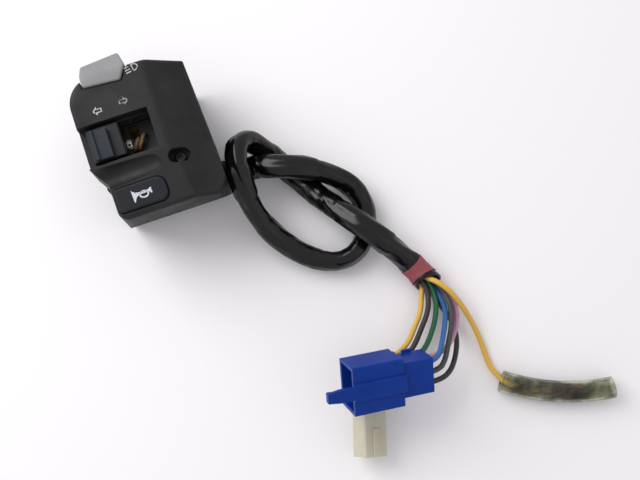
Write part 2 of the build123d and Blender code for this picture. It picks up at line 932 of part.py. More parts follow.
def dimmer_plunger():
    body = rod_z(0, 0, plunger_radius, -plunger_reach + plunger_radius, -plunger_reach + plunger_length)
    body += Pos(0, 0, -plunger_reach + plunger_radius) * Sphere(plunger_radius)
    return plunger_frame() * body


def dimmer_spring():
    z0 = -plunger_reach + plunger_length
    z1 = -plunger_tube_roof()
    return plunger_frame() * tube_z(0, 0, plunger_radius - pin_gap, plunger_radius / 2, z0, z1)


def dimmer_pivot_pin():
    left = knob_left_x + cheek_gap_left() - running_gap - ear_thickness
    right = cheek_right_x() + running_gap + ear_thickness
    return rod_x(dimmer_pin_y, dimmer_pin_z, dimmer_pin_radius, left, right)


def see_saw_z():
    return dimmer_pin_z - plunger_reach - running_gap / 2 - see_saw_thickness


def dimmer_floor_top():
    return see_saw_z() - fulcrum_height


def dimmer_contact_rocker():
    half = see_saw_half_length
    plate = box_between((-see_saw_width / 2, -half, 0), (see_saw_width / 2, half, see_saw_thickness))
    ridge = rod_x(0, 0, see_saw_thickness, -see_saw_width / 2, see_saw_width / 2)
    ridge &= box_between((-half, -half, -half), (half, half, see_saw_thickness / 2))
    rocker = plate + ridge
    return Pos(plunger_x, dimmer_pin_y, see_saw_z()) * Rot(-see_saw_tilt, 0, 0) * rocker


def dimmer_base():
    x0, x1 = dimmer_boss_left_x + small_boss_radius, dimmer_boss_right_x - small_boss_radius
    top = dimmer_floor_top()
    bottom = top - dimmer_floor
    plate = box_between((x0, dimmer_base_front_y, bottom), (x1, dimmer_base_back_y, top))
    for x in (dimmer_boss_left_x, dimmer_boss_right_x):
        plate += rod_z(x, dimmer_boss_y, small_boss_radius, bottom, top)
        inner = x0 + wall if x < plunger_x else x1 - wall
        low, high = min(x, inner), max(x, inner)
        plate += box_between(
            (low, dimmer_boss_y - small_boss_radius, bottom), (high, dimmer_boss_y + small_boss_radius, top)
        )
    fulcrum = box_between(
        (plunger_x - see_saw_width / 2, dimmer_pin_y - 2 * see_saw_thickness, top),
        (plunger_x + see_saw_width / 2, dimmer_pin_y + 2 * see_saw_thickness, see_saw_z() - running_gap),
    )
    seat = rod_x(dimmer_pin_y, see_saw_z(), see_saw_thickness + pin_gap, x0, x1)
    plate += fulcrum - seat
    outer = housing_form(wall + running_gap)
    plate &= outer
    for x in (dimmer_boss_left_x, dimmer_boss_right_x):
        plate -= rod_z(x, dimmer_boss_y, small_screw_radius + hole_gap, bottom - overrun, top + overrun)
    return plate


def dimmer_base_screws():
    body = base_screw(dimmer_floor)
    places = (dimmer_boss_left_x, dimmer_boss_right_x)
    return Compound([Pos(x, dimmer_boss_y, dimmer_floor_top() - dimmer_floor) * body for x in places])


def dimmer_fixed_contacts():
    reach = see_saw_half_length - see_saw_thickness
    dip = (see_saw_half_length) * sin(radians(see_saw_tilt))
    height = fulcrum_height - dip - running_gap
    pads = []
    for y in (dimmer_pin_y - reach, dimmer_pin_y + reach):
        pads.append(rod_z(plunger_x, y, see_saw_thickness, dimmer_floor_top(), dimmer_floor_top() + height))
    return Compound(pads)


# Horn switch


def horn_top(y):
    fall = lower_face_drop / (lower_face_y - bottom_y)
    return face_z - (lower_face_y - y) * fall + horn_proud


def horn_shape(inset, z0):
    shape = well_prism(-running_gap - inset, z0, face_z + overrun)
    y0, y1 = well_bottom_y, well_top_y
    points = [(y0, z0), (y0, horn_top(y0) - inset), (y1, horn_top(y1) - inset), (y1, z0)]
    return shape & prism_x(points, well_left_x, well_right_x)


def horn_flange_bottom():
    return well_floor_z - running_gap - horn_flange_height


def horn_strip_bottom():
    return horn_floor_z + horn_floor + horn_pad_height + horn_travel + horn_strip_gap


def horn_middle():
    return ((well_left_x + well_right_x) / 2, (well_bottom_y + well_top_y) / 2)


def horn_post_places():
    x, y = horn_middle()
    return ((x - horn_post_reach, y), (x + horn_post_reach, y))


def horn_button():
    cap = horn_shape(0, horn_flange_bottom())
    top = [e for e in cap.edges() if e.bounding_box().min.Z > well_floor_z]
    cap = fillet([e for e in top if e.bounding_box().max.Z > horn_top(well_bottom_y) - 2 * horn_round
                  and e.bounding_box().min.Z > horn_top(well_bottom_y) - 2 * horn_round], horn_round)
    cap -= horn_shape(horn_skin, horn_flange_bottom() - overrun)
    flange = box_between(
        (horn_side_x + wall + running_gap, well_bottom_y + well_corner, horn_flange_bottom()),
        (well_right_x + horn_flange, well_top_y + horn_flange, horn_flange_bottom() + horn_flange_height),
    )
    cap += flange - horn_shape(horn_skin, horn_flange_bottom() - overrun)
    z0 = horn_strip_bottom() + horn_strip_thickness
    for x, y in horn_post_places():
        cap += rod_z(x, y, horn_post_radius, z0, horn_top(y) - horn_skin)
    return cap


def horn_contact_plate():
    x, y = horn_middle()
    z0 = horn_strip_bottom()
    reach = horn_post_reach + horn_post_radius
    strip = box_between(
        (x - reach, y - horn_strip_half_width, z0),
        (x + reach, y + horn_strip_half_width, z0 + horn_strip_thickness),
    )
    return strip - rod_z(x, y, horn_spring_radius + running_gap, 0, face_z)


def horn_base():
    z0, z1 = horn_floor_z, horn_floor_z + horn_floor
    low = (well_left_x + wall, well_bottom_y + wall / 2, z0)
    plate = box_between(low, (well_right_x, horn_boss_left[1], z1))
    for x, y in (horn_boss_right, horn_boss_left):
        plate += rod_z(x, y, small_boss_radius, z0, z1)
    x, y = horn_boss_right
    plate += box_between((well_right_x - wall, y - small_boss_radius, z0), (x, y + small_boss_radius, z1))
    x, y = horn_middle()
    plate += rod_z(x, y, horn_pillar_radius, z0, z1 + horn_pillar_height)
    plate &= housing_form(wall + running_gap)
    for place in (horn_boss_right, horn_boss_left):
        plate -= rod_z(*place, small_screw_radius + hole_gap, 0, face_z)
    return plate


def horn_base_screws():
    body = base_screw(horn_floor)
    return Compound([Pos(x, y, horn_floor_z) * body for x, y in (horn_boss_right, horn_boss_left)])


def horn_fixed_contacts():
    z0 = horn_floor_z + horn_floor
    return Compound([rod_z(x, y, horn_post_radius, z0, z0 + horn_pad_height) for x, y in horn_post_places()])


def horn_spring():
    x, y = horn_middle()
    z0 = horn_floor_z + horn_floor
    z1 = horn_top(y - well_corner) - horn_skin - running_gap
    return tube_z(x, y, horn_spring_radius, horn_spring_radius - horn_spring_wire, z0, z1)


# Cords. Each route is a list of points, run as straight lines joined by tangent arcs.


def corner_radii(points):
    radii = []
    for before, here, after in zip(points, points[1:], points[2:]):
        a, b = Vector(*here) - Vector(*before), Vector(*after) - Vector(*here)
        turn = radians(a.get_angle(b))
        radii.append(0.45 * min(a.length, b.length) / tan(turn / 2))
    return radii


def cord_path(points):
    return FilletPolyline(*points, radius=corner_radii(points)).wire()


def cord(name, points, radius):
    radii = corner_radii(points)
    path = cord_path(points)
    start = Vector(*points[1]) - Vector(*points[0])
    section = Plane(origin=points[0], z_dir=start) * Circle(radius)
    solid = sweep(section, path=path)
    share = solid.volume / (pi * radius ** 2 * path.length)
    print(f"{name}: length {path.length:.1f}, tightest {min(radii):.1f}, volume share {share:.4f}")
    return solid


sleeve_route = [
    (inboard_x + grommet_flange, exit_y, exit_z),
    (34.5, exit_y, exit_z),
    (43.9, -20.4, 0.2),
    (55.5, -25.2, 0.2),
    (65.0, -29.6, -5.2),
    (72.6, -36.6, -9.4),
    (75.4, -46.0, -11.0),
    (72.6, -57.0, -11.1),
    (65.2, -64.8, -11.0),
    (55.0, -65.4, -11.1),
    (44.6, -58.6, -11.0),
    (35.6, -47.6, -8.2),
    (30.0, -35.4, -0.4),
    (29.6, -24.6, 6.6),
    (30.0, -13.6, 6.6),
    (34.2, -6.2, 3.2),
    (40.2, -8.0, -3.6),
    (47.0, -17.6, -10.8),
    (55.8, -32.0, -11.1),
    (61.2, -41.6, -7.6),
    (67.4, -51.6, -0.4),
    (75.0, -62.6, -0.4),
    (81.0, -70.2, -5.8),
    (86.4, -78.6, -10.4),
    (89.8, -86.9, -10.6),
]


def sleeve_end_frame():
    last, before = Vector(*sleeve_route[-1]), Vector(*sleeve_route[-2])
    return Plane(origin=last, z_dir=last - before, x_dir=Vector(0, 0, 1).cross(last - before))


def mouth_cutter():
    reach = 4 * sleeve_radius
    slant = Plane(origin=(0, 0, -mouth_back), z_dir=mouth_slant)
    return sleeve_end_frame() * (slant * Pos(0, 0, reach / 2) * Box(reach, reach, reach))


def harness_sleeve():
    sleeve = cord("harness_sleeve", sleeve_route, sleeve_radius)
    mouth = rod_z(0, 0, mouth_radius, -mouth_depth, 0)
    mouth += Pos(0, 0, -band_back / 2) * Cone(mouth_radius, mouth_radius + mouth_flare, band_back)
    return sleeve - mouth_cutter() - sleeve_end_frame() * mouth


def sleeve_tape_band():
    path = cord_path(sleeve_route)
    part = path.trim(1 - (band_back + band_length) / path.length, 1 - band_back / path.length)
    frame = Plane(origin=part.position_at(0), z_dir=part.tangent_at(0))
    ring = Circle(sleeve_radius + band_thickness) - Circle(sleeve_radius + pin_gap)
    return sweep(frame * ring, path=part) - mouth_cutter()


def loom_spots():
    # One wire in the middle and seven round it, in the sleeve's end plane
    spots = [(0.0, 0.0)]
    for step in range(7):
        angle = radians(90 + step * 360 / 7)
        spots.append((loom_ring_radius * cos(angle), loom_ring_radius * sin(angle)))
    return spots


def loom_point(index, ahead=0.0):
    x, y = loom_spots()[index]
    point = sleeve_end_frame().from_local_coords(Vector(x, y, ahead))
    return (point.X, point.Y, point.Z)


def blue_location():
    turn_x, turn_y, turn_z = blue_turn
    return Pos(*blue_place) * Rot(0, 0, turn_z) * Rot(0, turn_y, 0) * Rot(turn_x, 0, 0)


def blue_point(column, row, ahead=0.0):
    depth = blue_shroud_length + blue_rear_length - wire_hole_depth + ahead
    place = blue_location() * Pos(depth, column * blue_pin_pitch, row * blue_row_height)
    return tuple(place.position)


def natural_location():
    turn_x, turn_y, turn_z = natural_turn
    return Pos(*natural_place) * Rot(0, 0, turn_z) * Rot(0, turn_y, 0) * Rot(turn_x, 0, 0)


def natural_point(column, row, ahead=0.0):
    depth = natural_length - wire_hole_depth + ahead
    place = natural_location() * Pos(depth, column * natural_pitch / 2, row * natural_pitch / 2)
    return tuple(place.position)


def wire_routes():
    start, hole = -mouth_depth, wire_hole_depth
    return {
        "wire_yellow": [
            loom_point(3, start), loom_point(3, -2.0), (84.3, -90.2, -10.6), (82.0, -96.0, -9.6),
            (77.0, -101.6, -8.6), (71.4, -107.6, -7.2), (63.2, -110.2, -5.6),
            natural_point(1, 1, hole + 7.6), natural_point(1, 1),
        ],
        "wire_brown": [
            loom_point(2, start), loom_point(2, -1.5), (87.0, -91.0, -8.8), (84.8, -96.8, -8.4),
            (79.4, -103.0, -8.0), (73.4, -109.6, -7.8), (65.6, -113.2, -7.8),
            natural_point(-1, 1, hole + 6.6), natural_point(-1, 1),
        ],
        "wire_green": [
            loom_point(0, start), loom_point(0, -0.5), (89.6, -93.6, -10.6), (87.4, -99.6, -10.8),
            (83.4, -105.6, -11.2), (78.3, -111.2, -11.8), (71.4, -114.0, -12.2), (64.2, -112.4, -11.4),
            natural_point(-1, -1, hole + 7.0), natural_point(-1, -1),
        ],
        "wire_blue": [
            loom_point(5, start), loom_point(5, -0.5), (92.0, -92.6, -11.8), (91.6, -98.6, -7.4),
            (88.6, -104.2, -2.4), (84.6, -110.6, 2.6), blue_point(1, 1, hole + 3.4), blue_point(1, 1),
        ],
        "wire_grey": [
            loom_point(7, start), loom_point(7, -0.5), (94.2, -93.6, -9.0), (93.6, -99.6, -6.0),
            (90.8, -106.0, -2.6), (86.6, -112.4, 0.6), (83.4, -117.6, 2.4),
            blue_point(0, 1, hole + 3.8), blue_point(0, 1),
        ],
        "wire_pink": [
            loom_point(6, start), loom_point(6, 0.5), (96.8, -95.2, -11.2), (95.4, -102.6, -9.0),
            (91.6, -108.8, -6.2), (86.4, -113.4, -2.6), blue_point(1, -1, hole + 4.6), blue_point(1, -1),
        ],
        "wire_black": [
            loom_point(4, start), loom_point(4, -0.5), (90.8, -94.8, -14.3), (93.4, -103.4, -13.6),
            (92.4, -111.0, -10.4), (88.8, -117.6, -6.2), (84.2, -122.8, -1.6),
            blue_point(-1, 1, hole + 3.8), blue_point(-1, 1),
        ],
        "wire_yellow_long": [
            loom_point(1, start), loom_point(1, -3.5), (92.2, -87.2, -5.4), (95.8, -92.6, -5.6),
            (98.6, -99.2, -8.6), (100.6, -106.4, -12.0), (101.6, -113.4, -13.8), (101.6, -120.6, -14.4),
            (101.4, -127.6, -13.6), bullet_wire_point(-bullet_wire_run), bullet_wire_point(0),
        ],
    }


def bullet_arc():
    z = back_z + bullet_radius
    start, middle, end = [(x, y, z) for x, y in bullet_points]
    return ThreePointArc(start, middle, end)


def bullet_wire_point(ahead):
    arc = bullet_arc()
    start = arc.position_at(receptacle_start_share)
    direction = (arc.position_at(receptacle_end_share) - start).normalized()
    point = start + direction * ahead
    return (point.X, point.Y, point.Z)


# Connectors


def blue_connector_housing():
    half_w, half_h = blue_shroud_width / 2, blue_shroud_height / 2
    shroud = box_between((0, -half_w, -half_h), (blue_shroud_length, half_w, half_h))
    shroud = fillet(shroud.edges().filter_by(Axis.X), blue_shroud_wall / 2)
    rear_w, rear_h = blue_rear_width / 2, blue_rear_height / 2
    end = blue_shroud_length + blue_rear_length
    rear = box_between((blue_shroud_length, -rear_w, -rear_h), (end, rear_w, rear_h))
    rear = fillet(rear.edges().filter_by(Axis.X), blue_shroud_wall / 3)
    body = shroud + rear
    rail_top = half_h + blue_rail_height
    rail_end = blue_shroud_length + blue_rail_height
    body += box_between((0, -blue_rail_width / 2, 0), (rail_end, blue_rail_width / 2, rail_top))
    far_edge = -half_h / 3
    body -= box_between(
        (-overrun, half_w - blue_side_step, -half_h - overrun), (blue_shroud_length, half_w + overrun, far_edge)
    )
    lug = blue_shroud_length + blue_lug_start
    body += box_between(
        (lug, rear_w - blue_lug_reach, -rear_h),
        (lug + blue_lug_length, rear_w + blue_lug_reach, -rear_h + blue_lug_reach),
    )
    inner_w, inner_h = half_w - blue_shroud_wall, half_h - blue_shroud_wall
    body -= box_between((-overrun, -inner_w, -inner_h), (blue_cavity_depth, inner_w, inner_h))
    tongue_z = rail_top - blue_tongue_thickness
    step = blue_tongue_reach * 0.55
    outline = [
        (blue_shroud_wall, -blue_tongue_width / 2),
        (-step, -blue_tongue_width / 2),
        (-blue_tongue_reach, -blue_tongue_tip_width / 2),
        (-blue_tongue_reach, blue_tongue_tip_width / 2),
        (-step, blue_tongue_width / 2),
        (blue_shroud_wall, blue_tongue_width / 2),
    ]
    tongue = prism_z(outline, tongue_z, rail_top)
    hook = box_between(
        (-blue_tongue_reach, -blue_tongue_tip_width / 2, tongue_z - blue_rail_height),
        (-blue_tongue_reach + blue_tongue_thickness, blue_tongue_tip_width / 2, rail_top),
    )
    body += tongue + hook
    for column, row in blue_cells():
        y, z = column * blue_pin_pitch, row * blue_row_height
        body -= rod_x(y, z, wire_hole_radius, blue_cavity_depth - overrun, end + overrun)
    return blue_location() * body


def blue_cells():
    return [(column, row) for row in (1, -1) for column in (-1, 0, 1)]


def blue_wired_cells():
    return [(1, 1), (0, 1), (-1, 1), (1, -1)]


def blue_connector_terminals():
    pins = []
    end = blue_shroud_length + blue_rear_length - wire_hole_depth
    for column, row in blue_wired_cells():
        y, z = column * blue_pin_pitch, row * blue_row_height
        barrel = rod_x(y, z, wire_hole_radius, blue_cavity_depth, end)
        half_w, half_t = blue_tab_width / 2, blue_tab_thickness / 2
        tab_end = blue_cavity_depth + blue_tab_thickness
        tab = box_between((blue_tab_reach, y - half_w, z - half_t), (tab_end, y + half_w, z + half_t))
        pins.append(blue_location() * (barrel + tab))
    return Compound(pins)


def natural_cells():
    return [(column, row) for row in (1, -1) for column in (-1, 1)]


def natural_wired_cells():
    return [(1, 1), (-1, 1), (-1, -1)]


def natural_connector_housing():
    half_w, half_h = natural_width / 2, natural_height / 2
    body = box_between((0, -half_w, -half_h), (natural_length, half_w, half_h))
    body = fillet(body.edges().filter_by(Axis.X), natural_round)
    rib_top = half_h + natural_rib_height
    cell_end = natural_length * natural_cell_share
    body += box_between((0, -natural_rib_width / 2, 0), (cell_end, natural_rib_width / 2, rib_top))
    for side in (-1, 1):
        body -= Pos(0, side * half_w, 0) * box_between(
            (natural_length - natural_collar_length, -natural_collar_inset, -half_h - overrun),
            (natural_length + overrun, natural_collar_inset, half_h + overrun),
        )
    half = natural_cell_width / 2
    for column, row in natural_cells():
        y, z = column * natural_pitch / 2, row * natural_pitch / 2
        body -= box_between((-overrun, y - half, z - half), (cell_end, y + half, z + half))
        body -= rod_x(y, z, wire_hole_radius, 0, natural_length + overrun)
    return natural_location() * body


def natural_connector_terminals():
    terminals = []
    end = natural_length - wire_hole_depth
    cell_end = natural_length * natural_cell_share
    radius = wire_hole_radius - pin_gap
    half = radius * 0.7
    for column, row in natural_wired_cells():
        y, z = column * natural_pitch / 2, row * natural_pitch / 2
        barrel = rod_x(y, z, radius, cell_end, end)
        box = box_between((natural_collar_length, y - half, z - half), (cell_end, y + half, z + half))
        terminals.append(natural_location() * (barrel + box))
    return Compound(terminals)


def arc_tube(arc, outer, inner):
    frame = Plane(origin=arc.position_at(0), z_dir=arc.tangent_at(0))
    return sweep(frame * (Circle(outer) - Circle(inner)), path=arc)


def bullet_sleeve():
    return arc_tube(bullet_arc(), bullet_radius, bullet_radius - bullet_wall)


def bullet_terminal():
    arc = bullet_arc()
    start, end = arc.position_at(receptacle_start_share), arc.position_at(receptacle_end_share)
    direction = end - start
    frame = Plane(origin=start, z_dir=direction)
    length = direction.length
    crimp = rod_z(0, 0, receptacle_bore, 0, length / 3)
    barrel = rod_z(0, 0, receptacle_radius, length / 3, length)
    barrel -= rod_z(0, 0, receptacle_bore, length / 2, length + overrun)
    return frame * (crimp + barrel)


# Wires inside the housing, from the switch bases to the grommet


def inner_loom():
    x1 = inboard_x + grommet_flange
    low = exit_z - wire_radius
    high = exit_z + 1.2 * wire_radius
    near, far = exit_y + inner_wire_spread, exit_y - inner_wire_spread
    horn = [
        (x1, far, low), (15.6, far, low), (9.4, -22.6, 2.6), (3.2, -23.4, horn_floor_z - wire_radius),
    ]
    turn = [
        (x1, near, low), (16.4, near, low), (14.6, -15.6, 4.4), (11.6, -13.2, 9.4),
        (4.4, -9.8, turn_floor_bottom() - wire_radius),
    ]
    dimmer = [
        (x1, exit_y, high), (18.2, exit_y, high), (16.6, -14.8, 7.6), (17.0, -6.4, 13.4), (16.6, 3.4, 14.0),
        (9.5, 12.6, 9.4), (7.2, 19.8, 7.6), (0.4, 22.8, dimmer_floor_top() + wire_radius + pin_gap),
    ]
    routes = {"inner_horn_wire": horn, "inner_turn_wire": turn, "inner_dimmer_wire": dimmer}
    return Compound([cord(name, route, wire_radius) for name, route in routes.items()])


def window_wires():
    top = turn_floor_top()
    crown = top + window_wire_rise
    arches = []
    for (x0, y0), (x1, y1) in window_wire_feet:
        step_x, step_y = (x1 - x0) / 5, (y1 - y0) / 5
        points = [(x0, y0, top), (x0, y0, crown - wire_radius), (x0 + step_x, y0 + step_y, crown),
                  (x1 - step_x, y1 - step_y, crown + pin_gap), (x1, y1, crown - wire_radius), (x1, y1, top)]
        arches.append(cord("window_wire", points, window_wire_radius))
    return Compound(arches)


def window_solder_tag():
    x, y = window_tag
    z = turn_floor_top()
    half, thick = window_tag_width / 2, window_tag_thickness
    foot = box_between((x - half, y - window_tag_width, z), (x + half, y + window_tag_width, z + thick))
    blade = box_between((x - half, y - thick, z), (x + half, y, z + window_tag_height))
    ear = box_between((x - half, y - window_tag_width, 0), (x + half, y + thick, thick))
    ear = Pos(0, 0, z + window_tag_height - thick) * ear
    eye = rod_z(x, y - window_tag_width / 2, half / 2, z + thick + pin_gap, z + 2 * window_tag_height)
    return foot + blade + ear - eye


def build():
    pieces = {
        "front_shell": front_shell(),
        "rear_shell": rear_shell(),
        "clamp_screws": clamp_screws(),
        "harness_grommet": harness_grommet(),
        "switch_base_screw": switch_base_screw(),
        "turn_base": turn_base(),
        "turn_base_screws": turn_base_screws(),
        "turn_fixed_contacts": turn_fixed_contacts(),
        "turn_carriage": turn_carriage(),
        "turn_knob": turn_knob(),
        "turn_contact_bridge": turn_contact_bridge(),
        "window_wires": window_wires(),
        "window_solder_tag": window_solder_tag(),
        "inner_loom": inner_loom(),
        "turn_detent_ball": turn_detent_ball(),
        "turn_detent_spring": turn_detent_spring(),
        "dimmer_knob": dimmer_knob(),
        "dimmer_pivot_pin": dimmer_pivot_pin(),
        "dimmer_plunger": dimmer_plunger(),
        "dimmer_spring": dimmer_spring(),
        "dimmer_contact_rocker": dimmer_contact_rocker(),
        "dimmer_base": dimmer_base(),
        "dimmer_base_screws": dimmer_base_screws(),
        "dimmer_fixed_contacts": dimmer_fixed_contacts(),
        "horn_button": horn_button(),
        "horn_contact_plate": horn_contact_plate(),
        "horn_spring": horn_spring(),
        "horn_base": horn_base(),
        "horn_base_screws": horn_base_screws(),
        "horn_fixed_contacts": horn_fixed_contacts(),
        "harness_sleeve": harness_sleeve(),
        "sleeve_tape_band": sleeve_tape_band(),
        "blue_connector_housing": blue_connector_housing(),
        "blue_connector_terminals": blue_connector_terminals(),
        "natural_connector_housing": natural_connector_housing(),
        "natural_connector_terminals": natural_connector_terminals(),
        "bullet_sleeve": bullet_sleeve(),
        "bullet_terminal": bullet_terminal(),
    }
    for name, route in wire_routes().items():
        pieces[name] = cord(name, route, wire_radius)
    return pieces


os.makedirs("parts", exist_ok=True)
for node, shape in build().items():
    export_step(shape, f"parts/{node}.step")
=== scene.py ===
"""A left-hand handlebar switch cluster with its knotted harness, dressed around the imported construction.

Every length is in metres, in the frame of the construction: the origin is the centre of the handlebar
bore, +X runs along the bar to the harness side, +Y runs up the switch face and +Z points out of it.
"""

from __future__ import annotations

import json
import logging
import math
from dataclasses import dataclass, field
from enum import Enum
from typing import Callable, Iterable, Sequence

import bmesh
import bpy
from mathutils import Euler, Matrix, Vector, noise

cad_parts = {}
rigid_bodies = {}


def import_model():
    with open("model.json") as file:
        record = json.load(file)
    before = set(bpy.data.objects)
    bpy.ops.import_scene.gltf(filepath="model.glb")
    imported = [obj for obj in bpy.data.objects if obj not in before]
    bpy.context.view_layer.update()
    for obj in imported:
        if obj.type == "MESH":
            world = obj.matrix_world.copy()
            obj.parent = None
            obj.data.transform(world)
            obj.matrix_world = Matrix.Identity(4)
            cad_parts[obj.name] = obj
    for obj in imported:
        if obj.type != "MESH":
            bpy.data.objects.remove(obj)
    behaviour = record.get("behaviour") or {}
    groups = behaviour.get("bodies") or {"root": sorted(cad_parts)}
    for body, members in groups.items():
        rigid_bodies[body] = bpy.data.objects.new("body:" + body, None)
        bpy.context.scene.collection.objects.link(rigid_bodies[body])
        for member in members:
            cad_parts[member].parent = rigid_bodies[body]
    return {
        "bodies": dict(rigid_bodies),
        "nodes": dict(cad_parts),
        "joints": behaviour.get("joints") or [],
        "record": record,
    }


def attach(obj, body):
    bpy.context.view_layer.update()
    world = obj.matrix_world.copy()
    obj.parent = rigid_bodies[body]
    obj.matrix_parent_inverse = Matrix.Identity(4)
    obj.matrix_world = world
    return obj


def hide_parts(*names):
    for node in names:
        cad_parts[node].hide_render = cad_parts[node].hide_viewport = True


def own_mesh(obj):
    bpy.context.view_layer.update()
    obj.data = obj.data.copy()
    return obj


LOG = logging.getLogger("switch_cluster")
MM = 0.001
Point = tuple[float, float, float]
Outline = list[tuple[float, float]]
Tree = bpy.types.NodeTree
Socket = bpy.types.NodeSocket


class Body(Enum):
    """The bodies of the construction that the scene's own pieces ride on."""

    ROOT = "root"
    HORN = "horn_button"


def linear(hex_colour: str) -> tuple[float, float, float, float]:
    """Turns an sRGB hex colour into linear light.

    Args:
        hex_colour: Six hex digits, with or without a leading hash.

    Returns:
        Red, green, blue and an alpha of one.
    """
    digits = hex_colour.lstrip("#")
    shares = [int(digits[i : i + 2], 16) / 255 for i in (0, 2, 4)]
    light = [c / 12.92 if c <= 0.04045 else ((c + 0.055) / 1.055) ** 2.4 for c in shares]
    return (light[0], light[1], light[2], 1.0)


def add_node(
    tree: Tree, kind: str, values: dict | None = None, stops: Sequence = (), **settings: object
) -> bpy.types.Node:
    """Adds one shader node with its settings and links.

    Args:
        tree: The node tree of a material or a world.
        kind: The node's type without its ShaderNode prefix.
        values: Per input name or number, an output socket to link or a plain value.
        stops: Position and colour of each stop, for a colour ramp.
        settings: The node's own properties.

    Returns:
        The new node.
    """
    node = tree.nodes.new("ShaderNode" + kind)
    for name, value in settings.items():
        setattr(node, name, value)
    for name, value in (values or {}).items():
        if isinstance(value, Socket):
            tree.links.new(value, node.inputs[name])
        else:
            node.inputs[name].default_value = value
    for index, (position, colour) in enumerate(stops):
        ramp = node.color_ramp.elements
        stop = ramp[index] if index < len(ramp) else ramp.new(position)
        stop.position = position
        stop.color = colour
    return node


def new_material(name: str) -> tuple[bpy.types.Material, Tree]:
    """Makes an empty node material.

    Args:
        name: The material's name.

    Returns:
        The material and its node tree.
    """
    material = bpy.data.materials.new(name)
    material.use_nodes = True
    material.node_tree.nodes.clear()
    return material, material.node_tree


def add_noise(
    tree: Tree, size: float, detail: float, roughness: float = 0.5, place: Socket | None = None
) -> Socket:
    """Adds noise that sits still on the object.

    Args:
        tree: The material's node tree.
        size: The size of the noise's largest patches.
        detail: How many finer layers it has.
        roughness: How strong the finer layers are.
        place: The coordinates, where they aren't the object's own.

    Returns:
        The noise's value, from 0 to 1.
    """
    if place is None:
        place = add_node(tree, "TexCoord").outputs["Object"]
    values = {"Vector": place, "Scale": 1 / size, "Detail": detail, "Roughness": roughness}
    return add_node(tree, "TexNoise", values).outputs["Fac"]


def add_range(
    tree: Tree, value: Socket, source: tuple[float, float], target: tuple[float, float] = (0, 1)
) -> Socket:
    """Maps one range of a value to another and holds it there.

    Args:
        tree: The material's node tree.
        value: The value to map.
        source: Its range.
        target: The range it is mapped to.

    Returns:
        The mapped value.
    """
    values = {"Value": value, "From Min": source[0], "From Max": source[1], "To Min": target[0], "To Max": target[1]}
    return add_node(tree, "MapRange", values).outputs[0]


def add_mix(tree: Tree, share: Socket, base: Socket | str, over: str) -> Socket:
    """Lays one colour over another.

    Args:
        tree: The material's node tree.
        share: How much of the upper colour shows.
        base: The lower colour, as a socket or in hex.
        over: The upper colour, in hex.

    Returns:
        The mixed colour.
    """
    base = linear(base) if isinstance(base, str) else base
    return add_node(tree, "Mix", {0: share, 6: base, 7: linear(over)}, data_type="RGBA").outputs[2]


def add_bump(tree: Tree, height: Socket, depth: float, normal: Socket | None = None) -> Socket:
    """Raises a fine relief.

    Args:
        tree: The material's node tree.
        height: The relief's height, from 0 to 1.
        depth: How deep it is.
        normal: The normal under it, where it isn't the surface's own.

    Returns:
        The bumped normal.
    """
    values = {"Height": height, "Distance": depth, "Strength": 1}
    if normal is not None:
        values["Normal"] = normal
    return add_node(tree, "Bump", values).outputs[0]


def finish_material(tree: Tree, values: dict) -> None:
    """Ends a material with its shader.

    Args:
        tree: The material's node tree.
        values: The shader's inputs, as for any node.
    """
    shader = add_node(tree, "BsdfPrincipled", values)
    add_node(tree, "OutputMaterial", {"Surface": shader.outputs[0]})


@dataclass(frozen=True)
class MouldedPlastic:
    """An injection-moulded plastic: an even colour, a fine grain, and rounded edges painted pale, partly as rubbed
    wear and partly as a painted highlight.
    """

    name: str
    colour: str
    patch_colour: str
    wear_and_highlight_colour: str
    roughness: float = 0.5
    roughness_spread: float = 0.1
    patch: float = 14 * MM
    grain: float = 0.35 * MM
    grain_depth: float = 0.03 * MM
    edge_radius: float = 0.35 * MM
    edge_wear_and_highlight: float = 0.5
    specular: float = 0.5
    glow: float = 0.0
    milky: float = 0.0

    def build(self) -> bpy.types.Material:
        """Makes the material."""
        material, tree = new_material(self.name)
        patches = add_noise(tree, self.patch, 5, 0.6)
        stops = ((0.32, linear(self.colour)), (0.72, linear(self.patch_colour)))
        colour = add_node(tree, "ValToRGB", {0: patches}, stops=stops)
        rounded = add_node(tree, "Bevel", {"Radius": self.edge_radius}, samples=6).outputs[0]
        true = add_node(tree, "NewGeometry").outputs["Normal"]
        match = add_node(tree, "VectorMath", {0: rounded, 1: true}, operation="DOT_PRODUCT")
        # Pale edges: rubbed wear, and on some parts a painted highlight along the rims.
        edge = add_range(tree, match.outputs["Value"], (0.995, 0.8), (0, self.edge_wear_and_highlight))
        broken = add_range(tree, add_noise(tree, 0.2 * self.patch, 4), (0.35, 0.62))
        worn = add_node(tree, "Math", {0: edge, 1: broken}, operation="MULTIPLY").outputs[0]
        dull, shiny = self.roughness + self.roughness_spread, self.roughness - self.roughness_spread
        shader = {
            "Base Color": add_mix(tree, worn, colour.outputs[0], self.wear_and_highlight_colour),
            "Roughness": add_range(tree, patches, (0.3, 0.7), (dull, shiny)),
            "Normal": add_bump(tree, add_noise(tree, self.grain, 3), self.grain_depth, rounded),
            "Specular IOR Level": self.specular,
            "IOR": 1.52,
            "Subsurface Weight": self.glow,
            "Subsurface Scale": 2 * MM,
            "Transmission Weight": self.milky,
        }
        finish_material(tree, shader)
        return material


